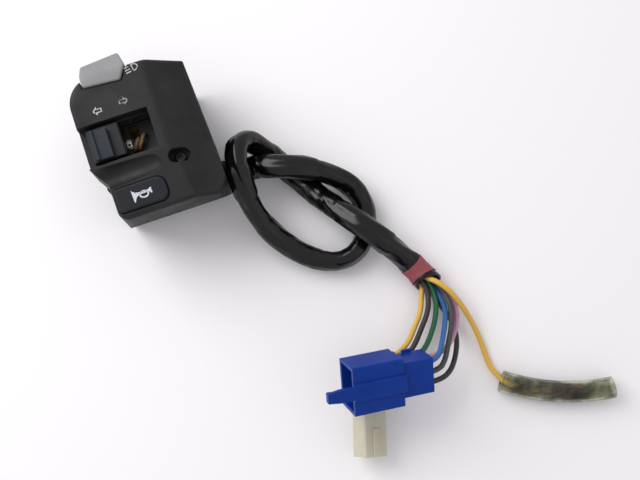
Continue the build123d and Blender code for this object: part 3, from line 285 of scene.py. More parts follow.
@dataclass(frozen=True)
class SoftVinyl:
    """Extruded soft PVC, as on wires and harness tube: a wet-looking skin with faint dents and dust."""

    name: str
    colour: str
    dust_colour: str
    roughness: float = 0.25
    dust: float = 0.25
    dent: float = 5 * MM
    dent_depth: float = 0.1 * MM
    specular: float = 0.5

    def build(self) -> bpy.types.Material:
        """Makes the material."""
        material, tree = new_material(self.name)
        haze = add_noise(tree, 3 * self.dent, 6, 0.65)
        veil = add_range(tree, haze, (0.45, 0.75), (0, self.dust))
        shader = {
            "Base Color": add_mix(tree, veil, self.colour, self.dust_colour),
            "Roughness": add_range(tree, haze, (0.35, 0.75), (self.roughness, min(1.0, 2.2 * self.roughness))),
            "Normal": add_bump(tree, add_noise(tree, self.dent, 2, 0.4), self.dent_depth),
            "IOR": 1.53,
            "Specular IOR Level": self.specular,
        }
        finish_material(tree, shader)
        return material


@dataclass(frozen=True)
class PlatedMetal:
    """A plated or bright metal: brushed fine, with dull and darker patches of handling and age."""

    name: str
    colour: str
    tarnish: str
    roughness: float = 0.3
    patch: float = 3 * MM
    grain: float = 0.2 * MM
    grain_depth: float = 0.01 * MM
    edge_radius: float = 0.15 * MM

    def build(self) -> bpy.types.Material:
        """Makes the material."""
        material, tree = new_material(self.name)
        age = add_noise(tree, self.patch, 6, 0.7)
        rounded = add_node(tree, "Bevel", {"Radius": self.edge_radius}, samples=4).outputs[0]
        stops = ((0.42, linear(self.colour)), (0.7, linear(self.tarnish)))
        shader = {
            "Base Color": add_node(tree, "ValToRGB", {0: age}, stops=stops).outputs[0],
            "Metallic": 1.0,
            "Roughness": add_range(tree, age, (0.35, 0.7), (self.roughness, min(1.0, 2 * self.roughness))),
            "Normal": add_bump(tree, add_noise(tree, self.grain, 2), self.grain_depth, rounded),
        }
        finish_material(tree, shader)
        return material


@dataclass(frozen=True)
class ClearVinyl:
    """Clear PVC gone cloudy: light passes but blurs, with greenish grime in patches."""

    name: str = "clear PVC sleeve, aged"
    colour: str = "#DADAC2"
    grime: str = "#626850"
    roughness: float = 0.14
    transmission: float = 0.96
    patches: tuple[float, float, float] = (120.0, 170.0, 170.0)
    dent_depth: float = 0.15 * MM

    def build(self) -> bpy.types.Material:
        """Makes the material."""
        material, tree = new_material(self.name)
        place = add_node(tree, "TexCoord").outputs["Object"]
        stretched = add_node(tree, "Mapping", {"Vector": place, "Scale": self.patches}).outputs[0]
        stains = add_noise(tree, 1, 5, 0.6, stretched)
        stops = ((0.42, linear(self.colour)), (0.62, linear(self.grime)))
        shader = {
            "Base Color": add_node(tree, "ValToRGB", {0: stains}, stops=stops).outputs[0],
            "Roughness": self.roughness,
            "Transmission Weight": self.transmission,
            "IOR": 1.45,
            "Normal": add_bump(tree, stains, self.dent_depth),
        }
        finish_material(tree, shader)
        return material


@dataclass(frozen=True)
class PadInk:
    """Pad-printed white ink, rubbed away in flecks so the plastic under it shows."""

    name: str
    colour: str
    under: str
    worn_share: float = 0.4
    fleck: float = 0.7 * MM

    def build(self) -> bpy.types.Material:
        """Makes the material."""
        material, tree = new_material(self.name)
        kept = add_range(tree, add_noise(tree, self.fleck, 4, 0.6), (self.worn_share, self.worn_share + 0.12))
        finish_material(tree, {"Base Color": add_mix(tree, kept, self.under, self.colour), "Roughness": 0.55})
        return material


FINISHES = {
    # Black ABS, spark-eroded mould grain: charcoal, matt, greyer where hands and dust have been
    "housing_abs": MouldedPlastic(
        "black ABS, matt moulded", "#1B1B1D", "#252526", "#5A5A5C", 0.55, 0.1, edge_wear_and_highlight=0.3, specular=0.25
    ),
    # Black glass-filled nylon of the switch bases: darker and duller than the shells
    "base_plastic": MouldedPlastic("black filled nylon", "#1B1B1D", "#242426", "#3A3A3C", 0.6),
    # Moulded rubber: deep black, no shine
    "grommet_rubber": MouldedPlastic("moulded rubber", "#141415", "#1C1C1D", "#2A2A2B", 0.75, 0.08, specular=0.3),
    "zinc_screws": PlatedMetal("zinc-plated steel", "#B9B7B0", "#77746C", 0.32),
    "spring_steel": PlatedMetal("bright spring steel", "#9C9C9C", "#5C5A58", 0.25),
    # Brass contacts, coloured dark brown as painted shade of the window they sit behind, with darker patches
    "contact_brass": PlatedMetal("stamped brass, dark as painted shade", "#4A3A24", "#231B12", 0.5),
    "tinned_brass": PlatedMetal("tinned brass", "#B4B2A8", "#7C776A", 0.35),
    # ABS slider carriage: a shade smoother than the shells, polished by the thumb
    "carriage_plastic": MouldedPlastic("black ABS, satin", "#17181B", "#1E1F23", "#3C3E42", 0.45, 0.08, specular=0.25),
    # Slate-blue ABS thumb pad: satin, with pale rims, partly rubbed wear and partly a painted highlight
    "pad_plastic": MouldedPlastic(
        "slate ABS, satin", "#20262D", "#272D35", "#5A6067", 0.5, 0.08, edge_wear_and_highlight=0.4, specular=0.25
    ),
    # Light grey ABS dimmer knob: even, faintly waxy
    "dimmer_grey_plastic": MouldedPlastic(
        "light grey ABS, satin", "#838384", "#8D8D8E", "#9E9E9F", 0.5, 0.06, edge_radius=1.2 * MM, specular=0.3
    ),
    # Slate-black ABS horn button: satin, its rim painted pale as a painted highlight
    "horn_plastic": MouldedPlastic(
        "slate-black ABS, satin", "#15171B", "#1C1E24", "#7B7F88", 0.45, 0.08, edge_wear_and_highlight=0.7, specular=0.25
    ),
    # Soft black PVC tube: almost wet-looking, greyed by dust where it lies open to the room
    "sleeve_pvc": SoftVinyl("soft black PVC tube", "#050506", "#151417", 0.13, 0.3, 14 * MM, 0.06 * MM, specular=0.36),
    # Dull red vinyl tape, crumpled and stretched round the tube
    "tape_red": SoftVinyl("red vinyl tape", "#8B4046", "#9E6062", 0.5, 0.5, 2.5 * MM, 0.2 * MM),
    "wire_yellow_pvc": SoftVinyl("yellow PVC insulation", "#D8A93A", "#CBA86A", 0.32, 0.5),
    "wire_brown_pvc": SoftVinyl("brown-black PVC insulation", "#2B1F22", "#3E3235", 0.35),
    "wire_green_pvc": SoftVinyl("green PVC insulation", "#186B43", "#3A7A5B", 0.32),
    "wire_blue_pvc": SoftVinyl("light blue PVC insulation", "#265A98", "#3E6596", 0.32),
    "wire_grey_pvc": SoftVinyl("dark grey PVC insulation", "#383939", "#494A4A", 0.32),
    "wire_pink_pvc": SoftVinyl("pink PVC insulation", "#C08AA6", "#C6A0B2", 0.35),
    "wire_black_pvc": SoftVinyl("black PVC insulation", "#222224", "#353537", 0.3),
    # Blue nylon connector: saturated, satin, with rounded edges that catch the light and a painted highlight of pale
    # blue along them
    "connector_blue_nylon": MouldedPlastic(
        "blue nylon, moulded", "#032E86", "#063690", "#4A6BB5", 0.42, 0.07, edge_radius=0.3 * MM, specular=0.16
    ),
    # Undyed nylon: milky and slightly yellow, light passes into it
    "connector_natural_nylon": MouldedPlastic(
        "natural nylon, moulded", "#CFC8B0", "#DCD8C4", "#EDEADD", 0.35, 0.08, glow=0.35, milky=0.2
    ),
    "bullet_clear_vinyl": ClearVinyl(),
}


# Nodes whose look departs from that of their slot: a screw coloured dark as painted shade of its pocket, wires gone
# tan and a stained receptacle
OWN_FINISHES = {
    # The screw's dark colour is painted shade of the deep pocket it sits in.
    "switch_base_screw": PlatedMetal("dark steel, painted pocket shade", "#3E3D3C", "#1F1E1D", 0.45),
    "window_wires": SoftVinyl("tan PVC insulation", "#7D5F3A", "#94774E", 0.4),
    "bullet_terminal": PlatedMetal("brass, dull and stained", "#9A6F58", "#3E3128", 0.4),
}


@dataclass
class Bench:
    """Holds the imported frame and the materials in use."""

    frame: dict
    materials: dict[str, bpy.types.Material] = field(default_factory=dict)

    def material(self, slot: str) -> bpy.types.Material:
        """Gives the material of one of the record's slots."""
        if slot not in self.materials:
            self.materials[slot] = FINISHES[slot].build()
        return self.materials[slot]

    def dress_construction(self) -> None:
        """Gives every construction node the material of its slot, and a few nodes one of their own."""
        for row in self.frame["record"]["subparts"]:
            node, slot, own = self.frame["nodes"][row["node"]], row["material_slot"], OWN_FINISHES.get(row["node"])
            node.data.materials.clear()
            node.data.materials.append(own.build() if own else self.material(slot))

    def place(
        self,
        name: str,
        mesh: bpy.types.Mesh,
        finish: str | bpy.types.Material,
        body: Body = Body.ROOT,
        replaces: Iterable[str] = (),
        smooth_degrees: float = 40.0,
    ) -> bpy.types.Object:
        """Sets a finished mesh in the frame.

        Args:
            name: The piece's name.
            mesh: Its mesh, already in place.
            finish: A slot of the record, or a material of its own.
            body: The body that it moves with.
            replaces: The construction nodes that it stands for.
            smooth_degrees: Edges flatter than this shade smooth.

        Returns:
            The piece.
        """
        piece = new_object(name, mesh)
        mesh.shade_smooth()
        mesh.set_sharp_from_angle(angle=math.radians(smooth_degrees))
        own = isinstance(finish, bpy.types.Material)
        mesh.materials.append(finish if own else self.material(finish))
        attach(piece, body.value)
        if replaces:
            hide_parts(*replaces)
        LOG.info("%s: %d faces on %s", name, len(mesh.polygons), body.value)
        return piece


def new_object(name: str, data: bpy.types.ID) -> bpy.types.Object:
    """Makes an object of some data and links it to the scene."""
    made = bpy.data.objects.new(name, data)
    bpy.context.scene.collection.objects.link(made)
    return made


def mesh_of_curve(curve: bpy.types.Curve) -> bpy.types.Mesh:
    """Turns a curve into a mesh, and removes the curve."""
    carrier = new_object(curve.name, curve)
    bpy.context.view_layer.update()
    mesh = bpy.data.meshes.new_from_object(carrier.evaluated_get(bpy.context.evaluated_depsgraph_get()))
    bpy.data.objects.remove(carrier)
    bpy.data.curves.remove(curve)
    return mesh


def mesh_from(bm: bmesh.types.BMesh, name: str) -> bpy.types.Mesh:
    """Closes a bmesh into a mesh with its faces outwards.

    Args:
        bm: The bmesh, which is freed.
        name: The mesh's name.

    Returns:
        The mesh.
    """
    bmesh.ops.remove_doubles(bm, verts=bm.verts, dist=0.001 * MM)
    bmesh.ops.recalc_face_normals(bm, faces=bm.faces)
    mesh = bpy.data.meshes.new(name)
    bm.to_mesh(mesh)
    bm.free()
    return mesh


@dataclass
class Line:
    """A smooth line with a steady frame at each of its evenly spaced points."""

    points: list[Vector]
    length: float = 0.0
    frames: list[Matrix] = field(default_factory=list)
    bends: list[Vector] = field(default_factory=list)

    @classmethod
    def from_route(cls, route: Sequence[Point], step: float) -> Line:
        """Reads a route's own smooth spline at even steps.

        Args:
            route: The spline's control points.
            step: The distance between two points of the line.

        Returns:
            The line.
        """
        traced = mesh_of_curve(smooth_curve("route", route))
        dense = [v.co.copy() for v in traced.vertices]
        bpy.data.meshes.remove(traced)
        reach = [0.0]
        for here, there in zip(dense, dense[1:]):
            reach.append(reach[-1] + (there - here).length)
        count = max(2, round(reach[-1] / step))
        points, index = [], 0
        for number in range(count + 1):
            wanted = reach[-1] * number / count
            while index < len(reach) - 2 and reach[index + 1] < wanted:
                index += 1
            span = reach[index + 1] - reach[index]
            points.append(dense[index].lerp(dense[index + 1], (wanted - reach[index]) / span))
        return cls(points, reach[-1]).framed()

    def framed(self) -> Line:
        """Works out a frame that doesn't twist at every point."""
        last = len(self.points) - 1
        ahead = [(self.points[min(i + 1, last)] - self.points[max(i - 1, 0)]).normalized() for i in range(last + 1)]
        side = ahead[0].orthogonal().normalized()
        if abs(ahead[0].z) < 0.9:
            side = ahead[0].cross(Vector((0, 0, 1))).normalized()
        for index, forward in enumerate(ahead):
            side = (side - forward * side.dot(forward)).normalized()
            up = forward.cross(side)
            frame = Matrix((side, up, forward)).transposed().to_4x4()
            frame.translation = self.points[index]
            self.frames.append(frame)
            step = (self.points[min(index + 1, last)] - self.points[max(index - 1, 0)]).length
            self.bends.append((ahead[min(index + 1, last)] - ahead[max(index - 1, 0)]) / step)
        return self


def smooth_curve(name: str, route: Sequence[Point]) -> bpy.types.Curve:
    """Makes a curve of one smooth open spline.

    Args:
        name: The curve's name.
        route: Its control points.

    Returns:
        The curve.
    """
    curve = bpy.data.curves.new(name, "CURVE")
    curve.dimensions = "3D"
    curve.resolution_u = 16
    spline = curve.splines.new("NURBS")
    spline.points.add(len(route) - 1)
    for target, point in zip(spline.points, route):
        target.co = (*point, 1.0)
    spline.order_u = 3
    spline.use_endpoint_u = True
    return curve


@dataclass
class Ring:
    """One ring of a swept skin: where it lies along its line, and how far out and ahead each vertex is."""

    frame: Matrix
    radius: Callable[[float], float]
    ahead: Callable[[float], float] = lambda angle: 0.0


def sweep_skin(
    rings: Sequence[Ring], sides: int, close_start: bool = True, close_end: bool = True
) -> bmesh.types.BMesh:
    """Extrudes a circle from ring to ring.

    Args:
        rings: The rings, in order.
        sides: The number of vertices in each.
        close_start: Whether the first ring is filled.
        close_end: Whether the last ring is filled.

    Returns:
        The bmesh of the skin.
    """
    bm = bmesh.new()
    made = bmesh.ops.create_circle(bm, cap_ends=False, radius=1.0, segments=sides)
    verts = made["verts"]
    first = verts
    edges = list({edge for vert in verts for edge in vert.link_edges})
    for number, ring in enumerate(rings):
        if number:
            grown = bmesh.ops.extrude_edge_only(bm, edges=edges)["geom"]
            verts = [item for item in grown if isinstance(item, bmesh.types.BMVert)]
            edges = [item for item in grown if isinstance(item, bmesh.types.BMEdge)]
        back = rings[number - 1].frame.inverted() if number else Matrix.Identity(4)
        for vert in verts:
            local = back @ vert.co
            angle = math.atan2(local.y, local.x)
            out = ring.radius(angle)
            vert.co = ring.frame @ Vector((out * math.cos(angle), out * math.sin(angle), ring.ahead(angle)))
    if close_end:
        bmesh.ops.contextual_create(bm, geom=edges)
    if close_start:
        rim = list({edge for vert in first for edge in vert.link_edges if edge.is_boundary})
        bmesh.ops.contextual_create(bm, geom=rim)
    return bm


def smooth_step(low: float, high: float, value: float) -> float:
    """Rises from 0 at low to 1 at high without a corner."""
    share = min(1.0, max(0.0, (value - low) / (high - low)))
    return share * share * (3 - 2 * share)


def window(low: float, high: float, fade: float, value: float) -> float:
    """Is 1 between low and high and fades to 0 outside them."""
    return smooth_step(low - fade, low + fade, value) * (1 - smooth_step(high - fade, high + fade, value))


@dataclass(frozen=True)
class Connector:
    """The mouth of a connector, how it lies, and where its wires leave its rear."""

    mouth: Point
    turn_degrees: Point
    depth: float
    column_pitch: float
    row_pitch: float

    def point(self, column: int, row: int, ahead: float = 0.0) -> Point:
        """Gives the place of a wire in the rear, or behind it. From the mouth, +X runs into the connector."""
        turn = Euler([math.radians(degrees) for degrees in self.turn_degrees], "XYZ")
        frame = Matrix.Translation(self.mouth) @ turn.to_matrix().to_4x4()
        return tuple(frame @ Vector((self.depth + ahead, column * self.column_pitch, row * self.row_pitch)))


@dataclass
class Loom:
    """The routes of the sleeve and its wires, which repeat those of the construction."""

    sleeve_radius: float = 4.8 * MM
    wire_radius: float = 1.1 * MM
    ring_radius: float = 2.66 * MM
    mouth_depth: float = 6.5 * MM
    mouth_back: float = 1.5 * MM
    mouth_slant: tuple[float, float] = (0.31, -0.42)
    sleeve_route: tuple[Point, ...] = (
        (0.0260, -0.0165, -0.0054),
        (0.0345, -0.0165, -0.0054),
        (0.0439, -0.0204, 0.0002),
        (0.0555, -0.0252, 0.0002),
        (0.0650, -0.0296, -0.0052),
        (0.0726, -0.0366, -0.0094),
        (0.0754, -0.0460, -0.0110),
        (0.0726, -0.0570, -0.0111),
        (0.0652, -0.0648, -0.0110),
        (0.0550, -0.0654, -0.0111),
        (0.0446, -0.0586, -0.0110),
        (0.0356, -0.0476, -0.0082),
        (0.0300, -0.0354, -0.0004),
        (0.0296, -0.0246, 0.0066),
        (0.0300, -0.0136, 0.0066),
        (0.0342, -0.0062, 0.0032),
        (0.0402, -0.0080, -0.0036),
        (0.0470, -0.0176, -0.0108),
        (0.0558, -0.0320, -0.0111),
        (0.0612, -0.0416, -0.0076),
        (0.0674, -0.0516, -0.0004),
        (0.0750, -0.0626, -0.0004),
        (0.0810, -0.0702, -0.0058),
        (0.0864, -0.0786, -0.0104),
        (0.0898, -0.0869, -0.0106),
    )
    blue: Connector = Connector((0.0427, -0.11568, 0.01165), (25.7, 15.2, -6.9), 29.8 * MM, 4.2 * MM, 2.6 * MM)
    natural: Connector = Connector((0.04315, -0.14398, -0.00939), (32.0, -4.0, 72.9), 24 * MM, 2.1 * MM, 2.1 * MM)
    hole_depth: float = 4.0 * MM
    bullet_points: tuple[Point, ...] = (
        (0.1034, -0.1331, -0.0116),
        (0.1249, -0.1450, -0.0116),
        (0.1455, -0.1502, -0.0116),
    )
    bullet_shares: tuple[float, float] = (0.34, 0.72)
    bullet_run: float = 10.5 * MM

    def spots(self) -> list[tuple[float, float]]:
        """Gives the wires' places in the sleeve's end: one in the middle and seven round it."""
        turns = [math.radians(90 + step * 360 / 7) for step in range(7)]
        return [(0.0, 0.0)] + [(self.ring_radius * math.cos(t), self.ring_radius * math.sin(t)) for t in turns]

    def end_frame(self) -> Matrix:
        """Gives the sleeve's end: +Z ahead, +X level."""
        last, before = Vector(self.sleeve_route[-1]), Vector(self.sleeve_route[-2])
        forward = (last - before).normalized()
        side = Vector((0, 0, 1)).cross(forward).normalized()
        frame = Matrix((side, forward.cross(side), forward)).transposed().to_4x4()
        frame.translation = last
        return frame

    def loom_point(self, index: int, ahead: float = 0.0) -> Point:
        """Gives a wire's place at the sleeve's end, or ahead of it."""
        x, y = self.spots()[index]
        return tuple(self.end_frame() @ Vector((x, y, ahead)))

    def bullet_arc(self, share: float) -> tuple[Vector, Vector]:
        """Gives the point and the direction at a share of the bullet sleeve's arc."""
        a, b, c = (Vector(point) for point in self.bullet_points)
        ab, ac = b - a, c - a
        normal = ab.cross(ac)
        centre = a + (normal.cross(ab) * ac.length_squared + ac.cross(normal) * ab.length_squared) / (
            2 * normal.length_squared
        )
        start = a - centre
        sweep = start.angle(c - centre)
        turn = Matrix.Rotation(sweep * share, 3, normal.normalized())
        return centre + turn @ start, normal.normalized().cross(turn @ start).normalized()

    def bullet_point(self, ahead: float) -> Point:
        """Gives a point on the line of the crimped receptacle."""
        start, end = (self.bullet_arc(share)[0] for share in self.bullet_shares)
        return tuple(start + (end - start).normalized() * ahead)

    def wire_routes(self) -> dict[str, tuple[Point, ...]]:
        """Gives the route of each wire."""
        loom, natural, blue = self.loom_point, self.natural.point, self.blue.point
        start, hole = -self.mouth_depth, self.hole_depth
        return {
            "wire_yellow": (
                loom(3, start), loom(3, -2.0 * MM), (0.0843, -0.0902, -0.0106), (0.0820, -0.0960, -0.0096),
                (0.0770, -0.1016, -0.0086), (0.0714, -0.1076, -0.0072), (0.0632, -0.1102, -0.0056),
                natural(1, 1, hole + 7.6 * MM), natural(1, 1),
            ),
            "wire_brown": (
                loom(2, start), loom(2, -1.5 * MM), (0.0870, -0.0910, -0.0088), (0.0848, -0.0968, -0.0084),
                (0.0794, -0.1030, -0.0080), (0.0734, -0.1096, -0.0078), (0.0656, -0.1132, -0.0078),
                natural(-1, 1, hole + 6.6 * MM), natural(-1, 1),
            ),
            "wire_green": (
                loom(0, start), loom(0, -0.5 * MM), (0.0896, -0.0936, -0.0106), (0.0874, -0.0996, -0.0108),
                (0.0834, -0.1056, -0.0112), (0.0783, -0.1112, -0.0118), (0.0714, -0.1140, -0.0122),
                (0.0642, -0.1124, -0.0114), natural(-1, -1, hole + 7.0 * MM), natural(-1, -1),
            ),
            "wire_blue": (
                loom(5, start), loom(5, -0.5 * MM), (0.0920, -0.0926, -0.0118), (0.0916, -0.0986, -0.0074),
                (0.0886, -0.1042, -0.0024), (0.0846, -0.1106, 0.0026), blue(1, 1, hole + 3.4 * MM), blue(1, 1),
            ),
            "wire_grey": (
                loom(7, start), loom(7, -0.5 * MM), (0.0942, -0.0936, -0.0090), (0.0936, -0.0996, -0.0060),
                (0.0908, -0.1060, -0.0026), (0.0866, -0.1124, 0.0006), (0.0834, -0.1176, 0.0024),
                blue(0, 1, hole + 3.8 * MM), blue(0, 1),
            ),
            "wire_pink": (
                loom(6, start), loom(6, 0.5 * MM), (0.0968, -0.0952, -0.0112), (0.0954, -0.1026, -0.0090),
                (0.0916, -0.1088, -0.0062), (0.0864, -0.1134, -0.0026), blue(1, -1, hole + 4.6 * MM), blue(1, -1),
            ),
            "wire_black": (
                loom(4, start), loom(4, -0.5 * MM), (0.0908, -0.0948, -0.0143), (0.0934, -0.1034, -0.0136),
                (0.0924, -0.1110, -0.0104), (0.0888, -0.1176, -0.0062), (0.0842, -0.1228, -0.0016),
                blue(-1, 1, hole + 3.8 * MM), blue(-1, 1),
            ),
            "wire_yellow_long": (
                loom(1, start), loom(1, -3.5 * MM), (0.0922, -0.0872, -0.0054), (0.0958, -0.0926, -0.0056),
                (0.0986, -0.0992, -0.0086), (0.1006, -0.1064, -0.0120), (0.1016, -0.1134, -0.0138),
                (0.1016, -0.1206, -0.0144), (0.1014, -0.1276, -0.0136), self.bullet_point(-self.bullet_run),
                self.bullet_point(0),
            ),
        }


@dataclass
class Harness:
    """The black sleeve with its overhand knot, the tape at its end, and the eight wires."""

    loom: Loom
    step: float = 0.8 * MM
    sides: int = 56
    drawn_in: float = 0.965
    flattening: float = 0.2
    bend_gain: float = 2.2
    crease: float = 0.6 * MM
    crease_length: float = 17 * MM
    drift: float = 0.9
    drift_length: float = 21 * MM
    crinkle: float = 0.14 * MM
    crinkle_length: float = 2.6 * MM
    crinkled_shares: tuple[tuple[float, float], ...] = ((0.0, 0.05), (0.33, 0.40), (0.66, 0.86))
    pinch: float = 0.1 * MM
    pinch_length: float = 0.7 * MM
    wall: float = 0.8 * MM
    flare: float = 0.8 * MM
    flare_length: float = 7 * MM
    slant_length: float = 8 * MM
    band_length: float = 9.0 * MM
    band_back: float = 3.2 * MM
    band_thickness: float = 0.28 * MM
    band_steps: int = 16
    band_lap_share: float = 0.55
    band_lap_layers: float = 1.5
    band_crumple: float = 0.12 * MM
    band_crumple_length: float = 1.6 * MM
    table: float = -16.0 * MM

    def skin(self, angle: float, along: float, length: float, bend: Vector, frame: Matrix) -> float:
        """Works out how far out the tube's soft skin lies.

        Args:
            angle: The angle round the tube.
            along: The distance along it.
            length: Its whole length.
            bend: How it bends here, towards the inside of the bend.
            frame: The frame of the line here.

        Returns:
            The skin's radius.
        """
        local = frame.to_3x3().inverted() @ bend
        strength = min(1.0, Vector((local.x, local.y)).length * self.loom.sleeve_radius * self.bend_gain)
        inside = math.atan2(local.y, local.x)
        oval = self.flattening * strength * math.cos(2 * (angle - inside))
        share = along / length
        ends = window(6 * MM, length - 11 * MM, 5 * MM, along)
        drift = angle + self.drift * math.sin(along / self.drift_length)
        fold = noise.noise(Vector((1.5 * math.cos(drift), 1.5 * math.sin(drift), along / self.crease_length)))
        ridge = 1 - 2.4 * abs(fold)
        crinkled = sum(window(low, high, 0.02, share) for low, high in self.crinkled_shares)
        spot = Vector((1.9 * math.cos(angle), 1.9 * math.sin(angle), along / self.crinkle_length))
        small = noise.noise(spot) + 0.5 * noise.noise(2.1 * spot)
        radius = self.loom.sleeve_radius * (self.drawn_in - oval)
        radius += ends * self.crease * (0.55 * ridge - 0.35)
        radius += ends * crinkled * self.crinkle * small
        inner_pinch = max(0.0, math.cos(angle - inside)) * strength
        radius += ends * inner_pinch * self.pinch * math.sin(along / self.pinch_length + 2 * fold)
        return radius + self.flare * smooth_step(length - self.flare_length, length, along)

    def build_sleeve(self, bench: Bench) -> bpy.types.Object:
        line = Line.from_route(self.loom.sleeve_route, self.step)
        rings = []
        for number, frame in enumerate(line.frames):
            along = line.length * number / (len(line.frames) - 1)
            bend = line.bends[number]
            rings.append(
                Ring(
                    frame,
                    lambda angle, a=along, b=bend, f=frame: self.skin(angle, a, line.length, b, f),
                    self.slant(along, line.length, line.frames[-1]),
                )
            )
        end = line.frames[-1]
        lip = self.loom.sleeve_radius * self.drawn_in + self.flare
        for out, ahead in ((lip - 0.15 * MM, 0.25 * MM), (lip - self.wall, 0.1 * MM), (lip - self.wall, -1.2 * MM)):
            rings.append(self.mouth_ring(end, out, ahead, 1.0))
        rings.append(self.mouth_ring(end, self.loom.sleeve_radius - self.wall, -self.loom.mouth_depth, 0.0))
        bm = sweep_skin(rings, self.sides)
        for vert in bm.verts:
            vert.co.z = max(vert.co.z, self.table)
        mesh = mesh_from(bm, "harness_sleeve_skin")
        sleeve = bench.place("harness_sleeve_skin", mesh, "sleeve_pvc", replaces=["harness_sleeve"], smooth_degrees=60)
        return sleeve

    def slant(self, along: float, length: float, end: Matrix) -> Callable[[float], float]:
        """Gives how far ahead the slanting end draws each side of the tube."""
        pull = smooth_step(length - self.slant_length, length, along)
        return lambda angle: pull * self.rim(angle, end)

    def rim(self, angle: float, end: Matrix) -> float:
        """Gives how far ahead of the line's end the slanting mouth lies on one side."""
        forward = end.to_3x3() @ Vector((0, 0, 1))
        right = Vector((0, 0, 1)).cross(forward).normalized()
        out = end.to_3x3() @ Vector((math.cos(angle), math.sin(angle), 0)) * self.loom.sleeve_radius
        rightwards, upwards = self.loom.mouth_slant
        return rightwards * out.dot(right) + upwards * out.dot(forward.cross(right)) - self.loom.mouth_back

    def mouth_ring(self, end: Matrix, out: float, ahead: float, pull: float) -> Ring:
        """Gives a ring of the mouth's rim or of the bore behind it."""
        return Ring(end, lambda angle: out, lambda angle: ahead + pull * self.rim(angle, end))

    def build_band(self, bench: Bench) -> bpy.types.Object:
        """Models the red tape wound twice round the sleeve's end."""
        line = Line.from_route(self.loom.sleeve_route, self.step)
        end = line.frames[-1]
        rings = []
        reach = line.length - self.band_back
        count = self.band_steps
        for number in range(count + 1):
            along = reach - self.band_length * (1 - number / count)
            index = min(len(line.frames) - 1, round(along / line.length * (len(line.frames) - 1)))
            frame = line.frames[index]
            lap = 1.0 if number < self.band_lap_share * count else self.band_lap_layers

            def out(angle: float, a: float = along, f: Matrix = frame, i: int = index, lapped: float = lap) -> float:
                base = self.skin(angle, a, line.length, line.bends[i], f)
                spot = Vector((3 * math.cos(angle), 3 * math.sin(angle), a / self.band_crumple_length))
                return base + lapped * self.band_thickness + self.band_crumple * noise.noise(spot)

            rings.append(Ring(frame, out, self.slant(along, line.length, end)))
        start, stop = (
            Ring(ring.frame, lambda angle, r=ring: r.radius(angle) - 3 * self.band_thickness, ring.ahead)
            for ring in (rings[0], rings[-1])
        )
        mesh = mesh_from(sweep_skin([start, *rings, stop], self.sides, False, False), "sleeve_tape")
        return bench.place("sleeve_tape", mesh, "tape_red", replaces=["sleeve_tape_band"], smooth_degrees=50)

    def build_wires(self, bench: Bench) -> None:
        """Args:
            bench: The bench.
        """
        slots = {row["node"]: row["material_slot"] for row in bench.frame["record"]["subparts"]}
        for name, route in self.loom.wire_routes().items():
            curve = smooth_curve(name + "_cord", route)
            curve.bevel_depth = self.loom.wire_radius
            curve.bevel_resolution = 5
            curve.use_fill_caps = True
            curve.materials.append(bench.material(slots[name]))
            wire = new_object(name + "_cord", curve)
            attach(wire, Body.ROOT.value)
            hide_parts(name)
            Line.from_route(route, self.step).length
            LOG.info("%s: %d route points", wire.name, len(route))


@dataclass
class ReturnSpring:
    """The horn button's coil spring, wound at rest; the scene does not shorten it as the button goes in."""

    turns: int = 7
    steps: int = 28
    sides: int = 8
    wire_radius: float = 0.3 * MM
    travel: float = 2.5 * MM

    def build(self, bench: Bench) -> bpy.types.Object:
        """Winds the spring where the construction has its tube."""
        node = bench.frame["nodes"]["horn_spring"]
        corners = [node.matrix_world @ Vector(corner) for corner in node.bound_box]
        low, high = (Vector(pick(corner[axis] for corner in corners) for axis in range(3)) for pick in (min, max))
        middle, size = (low + high) / 2, high - low
        points = []
        for step in range(self.turns * self.steps + 1):
            turn = 2 * math.pi * step / self.steps
            reach = size.x / 2 - self.wire_radius
            height = low.z + self.wire_radius + (size.z - 2 * self.wire_radius) * step / (self.turns * self.steps)
            points.append(Vector((middle.x + reach * math.cos(turn), middle.y + reach * math.sin(turn), height)))
        rings = [Ring(frame, lambda angle: self.wire_radius) for frame in Line(points).framed().frames]
        mesh = mesh_from(sweep_skin(rings, self.sides), "horn_return_spring")
        spring = bench.place("horn_return_spring", mesh, "spring_steel", replaces=["horn_spring"])
        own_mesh(spring)
        return spring


@dataclass
class Mark:
    """A pad-printed sign: closed outlines on a flat spot, where an outline inside another is a hole."""

    name: str
    outlines: Sequence[Outline]
    centre: Point
    tilt_degrees: float = 0.0
    turn_degrees: float = 0.0
    thickness: float = 0.05 * MM

    def build(self, bench: Bench, ink: bpy.types.Material, body: Body) -> bpy.types.Object:
        """Models the sign as a thin raised sheet of ink."""
        curve = bpy.data.curves.new(self.name, "CURVE")
        curve.dimensions = "2D"
        curve.fill_mode = "BOTH"
        curve.extrude = self.thickness / 2
        for outline in self.outlines:
            spline = curve.splines.new("POLY")
            spline.points.add(len(outline) - 1)
            for target, (x, y) in zip(spline.points, outline):
                target.co = (x * MM, y * MM, 0, 1)
            spline.use_cyclic_u = True
        mesh = mesh_of_curve(curve)
        lie = Matrix.Rotation(math.radians(self.tilt_degrees), 4, "X")
        turn = Matrix.Rotation(math.radians(self.turn_degrees), 4, "Z")
        mesh.transform(Matrix.Translation(self.centre) @ lie @ turn)
        return bench.place(self.name, mesh, ink, body)


def ellipse(x: float, y: float, width: float, height: float, count: int = 28) -> Outline:
    """Gives an ellipse's outline as points, in millimetres."""
    turns = [2 * math.pi * step / count for step in range(count)]
    return [(x + width / 2 * math.cos(t), y + height / 2 * math.sin(t)) for t in turns]


def bar(x0: float, y0: float, x1: float, y1: float) -> Outline:
    """Gives an upright rectangle's outline, in millimetres."""
    return [(x0, y0), (x1, y0), (x1, y1), (x0, y1)]


